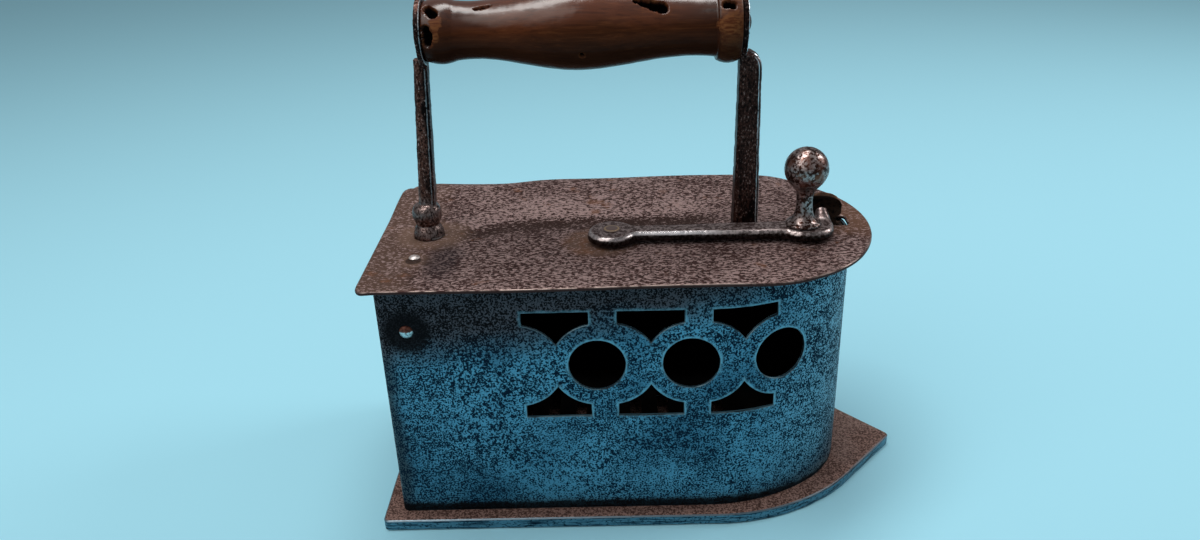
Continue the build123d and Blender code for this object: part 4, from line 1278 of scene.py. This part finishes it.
def rivet_group(node, body, finish, axis, seed):
    """Group of alike rivets: one is hammered, then set at the place of each rivet of the frame's node."""
    work = merged_mesh(node)
    groups = islands(work)
    middles = [box_middle(group) for group in groups]
    middles.sort(key=lambda place: tuple(round(value, 6) for value in place))
    first = min(groups, key=lambda group: (box_middle(group) - middles[0]).length)
    bmesh.ops.delete(work, geom=[vertex for vertex in work.verts if vertex not in first], context="VERTS")
    bmesh.ops.translate(work, verts=work.verts, vec=-middles[0])
    one = new_piece(node + "_one", plain_mesh(work, node + "_one"), finish)
    dent(skinned(one, voxel=0.22, rounds=2), size=2.2, depth=0.10)
    points = bpy.data.meshes.new(node)
    points.from_pydata(middles, [], [])
    piece = new_piece("hammered_" + node, points, finish)
    mesh = run_tree(piece, rivets_on_points, Rivet=one, Axis=axis, Seed=seed, Finish=finishes[finish])
    mesh.shade_smooth()
    bpy.data.objects.remove(one)
    stand_in(piece, node, body)


rivet_group("heel_rivets", "base", "dark_rivet", X_AXIS, seed=3)
rivet_group("keeper_rivets", "base", "dark_rivet", X_AXIS, seed=5)
rivet_group("hinge_rivets", "lid", "rivet", Z_AXIS, seed=8)
rivet_group("sole_rivets", "base", "dark_rivet", Z_AXIS, seed=11)


def grip_tree():
    """Wears a turned grip: shallow hollows all over and worm holes along given paths."""
    tree = Shape(
        "worn_grip",
        Holes="Object",
        Hole_Depth="Float",
        Wear_Depth="Float",
        Wear_Size="Float",
        Seed="Float",
        Finish="Material",
    )
    given = tree.given
    paths = tree.add("GeometryNodeObjectInfo", Object=given["Holes"]).outputs["Geometry"]
    nearest = tree.add("GeometryNodeProximity", {"target_element": "EDGES"})
    tree.put(nearest.inputs[0], paths)
    index = tree.add("GeometryNodeSampleNearest", Geometry=paths)
    width = tree.add("GeometryNodeInputNamedAttribute", {"data_type": "FLOAT"}, Name="reach")
    sample = tree.add(
        "GeometryNodeSampleIndex",
        {"data_type": "FLOAT"},
        Geometry=paths,
        Value=width.outputs["Attribute"],
        Index=index.outputs["Index"],
    )
    torn = Amount(tree, tree.add("ShaderNodeTexNoise", Scale=900.0, Detail=2.0).outputs[0])
    ratio = Amount(tree, nearest.outputs["Distance"]) / sample.outputs["Value"]
    ratio = ratio + (torn - 0.5) * 0.28
    hollow = ratio.fade(1.0, 0.80)
    rim = ratio.fade(1.75, 1.05)
    wear = tree.add(
        "ShaderNodeTexNoise",
        {"noise_dimensions": "4D"},
        W=given["Seed"],
        Scale=tree.formula("DIVIDE", 1.0, given["Wear Size"]),
        Detail=3.0,
    )
    sink = hollow * given["Hole Depth"] + Amount(tree, wear.outputs[0]) * given["Wear Depth"]
    normal = tree.add("GeometryNodeInputNormal").outputs["Normal"]
    kind = {"data_type": "FLOAT", "domain": "POINT"}
    shape = given["Geometry"]
    for name, mask in (("hollow", hollow), ("rim", rim)):
        store = tree.add("GeometryNodeStoreNamedAttribute", kind, Geometry=shape, Name=name, Value=mask)
        shape = store.outputs["Geometry"]
    offset = tree.vector("SCALE", normal, sink * -1.0)
    moved = tree.add("GeometryNodeSetPosition", Geometry=shape, Offset=offset)
    return tree.close(moved.outputs["Geometry"])


def hole_paths():
    """Edges that the worm holes follow on the grip's surface, with their half widths."""
    points, edges, reaches = [], [], []
    for hole in worm_holes.values():
        for index, (distance, angle) in enumerate(hole["path"]):
            if index:
                edges.append((len(points) - 1, len(points)))
            points.append(on_grip(distance, angle, path_sink) * MM)
            reaches.append(hole["reach"][index] * MM)
    mesh = bpy.data.meshes.new("worm_paths")
    mesh.from_pydata(points, edges, [])
    mesh.attributes.new("reach", "FLOAT", "POINT").data.foreach_set("value", reaches)
    piece = bpy.data.objects.new("worm_paths", mesh)
    scene.collection.objects.link(piece)
    return piece


def fine_outline():
    """Outline of the grip in short steps, from bore to bore, with its slight kinks evened out."""
    spacing = 0.45
    evening_rounds = 12
    kink = 0.05
    outline = [(0.0, grip_bore)]
    for (start, first), (end, second) in zip(profile, profile[1:]):
        count = max(1, round(math.hypot(end - start, second - first) / spacing))
        for index in range(count):
            share = index / count
            outline.append((start + (end - start) * share, first + (second - first) * share))
    outline += [profile[-1], (grip_length, grip_bore)]
    for _ in range(evening_rounds):
        for index in range(2, len(outline) - 2):
            before, here, after = (outline[index + shift][1] for shift in (-1, 0, 1))
            if abs(before + after - 2 * here) < kink:
                outline[index] = (outline[index][0], (before + 2 * here + after) / 4)
    return outline


def turned_grip():
    """Grip turned from the frame's outline, bored through, then worn."""
    around = 230
    work = bmesh.new()
    rings = []
    for distance, radius in fine_outline():
        ring = []
        for index in range(around):
            turn = 2 * math.pi * index / around
            point = (grip_low.x + distance, radius * math.cos(turn), grip_axis + radius * math.sin(turn))
            ring.append(work.verts.new(Vector(point) * MM))
        rings.append(ring)
    for first, second in zip(rings, rings[1:] + rings[:1]):
        for index in range(around):
            after = (index + 1) % around
            work.faces.new((first[index], second[index], second[after], first[after]))
    bmesh.ops.recalc_face_normals(work, faces=work.faces)
    piece = new_piece("worn_handle_grip", plain_mesh(work, "handle_grip"), "wood")
    paths = hole_paths()
    mesh = run_tree(
        piece,
        grip_tree(),
        Holes=paths,
        Hole_Depth=hole_depth * MM,
        Wear_Depth=grip_wear_depth * MM,
        Wear_Size=grip_wear_size * MM,
        Seed=4.0,
        Finish=finishes["wood"],
    )
    bpy.data.objects.remove(paths)
    mesh.shade_smooth()
    stand_in(piece, "handle_grip", "lid")


def plain_piece(node, body, finish):
    """Copy of a node as it is, with its triangles joined and its slivers taken out."""
    work = merged_mesh(node)
    no_slivers(work)
    mesh = plain_mesh(work, node)
    piece = new_piece("plain_" + node, mesh, finish)
    crisp(mesh)
    stand_in(piece, node, body)


turned_grip()
plain_piece("grate_feet", "base", "grate")
plain_piece("hinge_pin", "base", "pin")
plain_piece("handle_rod", "lid", "dark_rivet")

plain_nodes = {
    "fire_grate": "grate",
    "hinge_bracket": "soot",
    "rear_post_rove": "dark_rivet",
    "front_post_rove": "dark_rivet",
    "latch_washer": "dark_rivet",
}
for node, finish in plain_nodes.items():
    node_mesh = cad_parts[node].data
    node_mesh.materials.clear()
    node_mesh.materials.append(finishes[finish])


def make_floor():
    """Plain pale floor under the sole."""
    half = floor_half * MM
    mesh = bpy.data.meshes.new("floor")
    corners = [(-half, -half), (half, -half), (half, half), (-half, half)]
    mesh.from_pydata([(x, y, -floor_drop * MM) for x, y in corners], [], [(0, 1, 2, 3)])
    material = bpy.data.materials.new("pale_floor")
    material.use_nodes = True
    shader = material.node_tree.nodes["Principled BSDF"]
    shader.inputs["Base Color"].default_value = (*floor_colour, 1.0)
    shader.inputs["Roughness"].default_value = floor_roughness
    mesh.materials.append(material)
    floor = bpy.data.objects.new("floor", mesh)
    scene.collection.objects.link(floor)


def make_lamps():
    for name, lamp in lamps.items():
        light = bpy.data.lights.new(name, "AREA")
        light.shape = "RECTANGLE"
        light.size, light.size_y = (side * MM for side in lamp["sides"])
        light.energy = lamp["power"]
        light.color = lamp["colour"]
        holder = bpy.data.objects.new(name, light)
        place = Vector(lamp["place"]) * MM
        turn = (Vector(lamp_target) * MM - place).to_track_quat("-Z", "Y")
        holder.matrix_world = Matrix.Translation(place) @ turn.to_matrix().to_4x4()
        scene.collection.objects.link(holder)


def make_world():
    world = bpy.data.worlds.new("studio")
    world.use_nodes = True
    background = world.node_tree.nodes["Background"]
    background.inputs["Color"].default_value = (*world_colour, 1.0)
    background.inputs["Strength"].default_value = world_strength
    scene.world = world


def make_camera():
    """Camera at the photographed place and angle."""
    level = math.cos(camera_pitch)
    forward = Vector((math.sin(camera_yaw) * level, math.cos(camera_yaw) * level, -math.sin(camera_pitch)))
    right = Vector((math.cos(camera_yaw), -math.sin(camera_yaw), 0))
    up = right.cross(forward)
    rolled_right = math.cos(camera_roll) * right + math.sin(camera_roll) * up
    rolled_up = math.cos(camera_roll) * up - math.sin(camera_roll) * right
    turn = Matrix((rolled_right, rolled_up, -forward)).transposed().to_4x4()
    lens = bpy.data.cameras.new("photo_camera")
    lens.lens = lens_length
    lens.sensor_fit = "HORIZONTAL"
    lens.sensor_width = sensor_width
    lens.clip_start = nearest_view * MM
    camera = bpy.data.objects.new("photo_camera", lens)
    camera.matrix_world = Matrix.Translation(Vector(camera_place) * MM) @ turn
    scene.collection.objects.link(camera)
    scene.camera = camera


make_floor()
make_lamps()
make_world()
make_camera()
scene.view_settings.view_transform = "Standard"
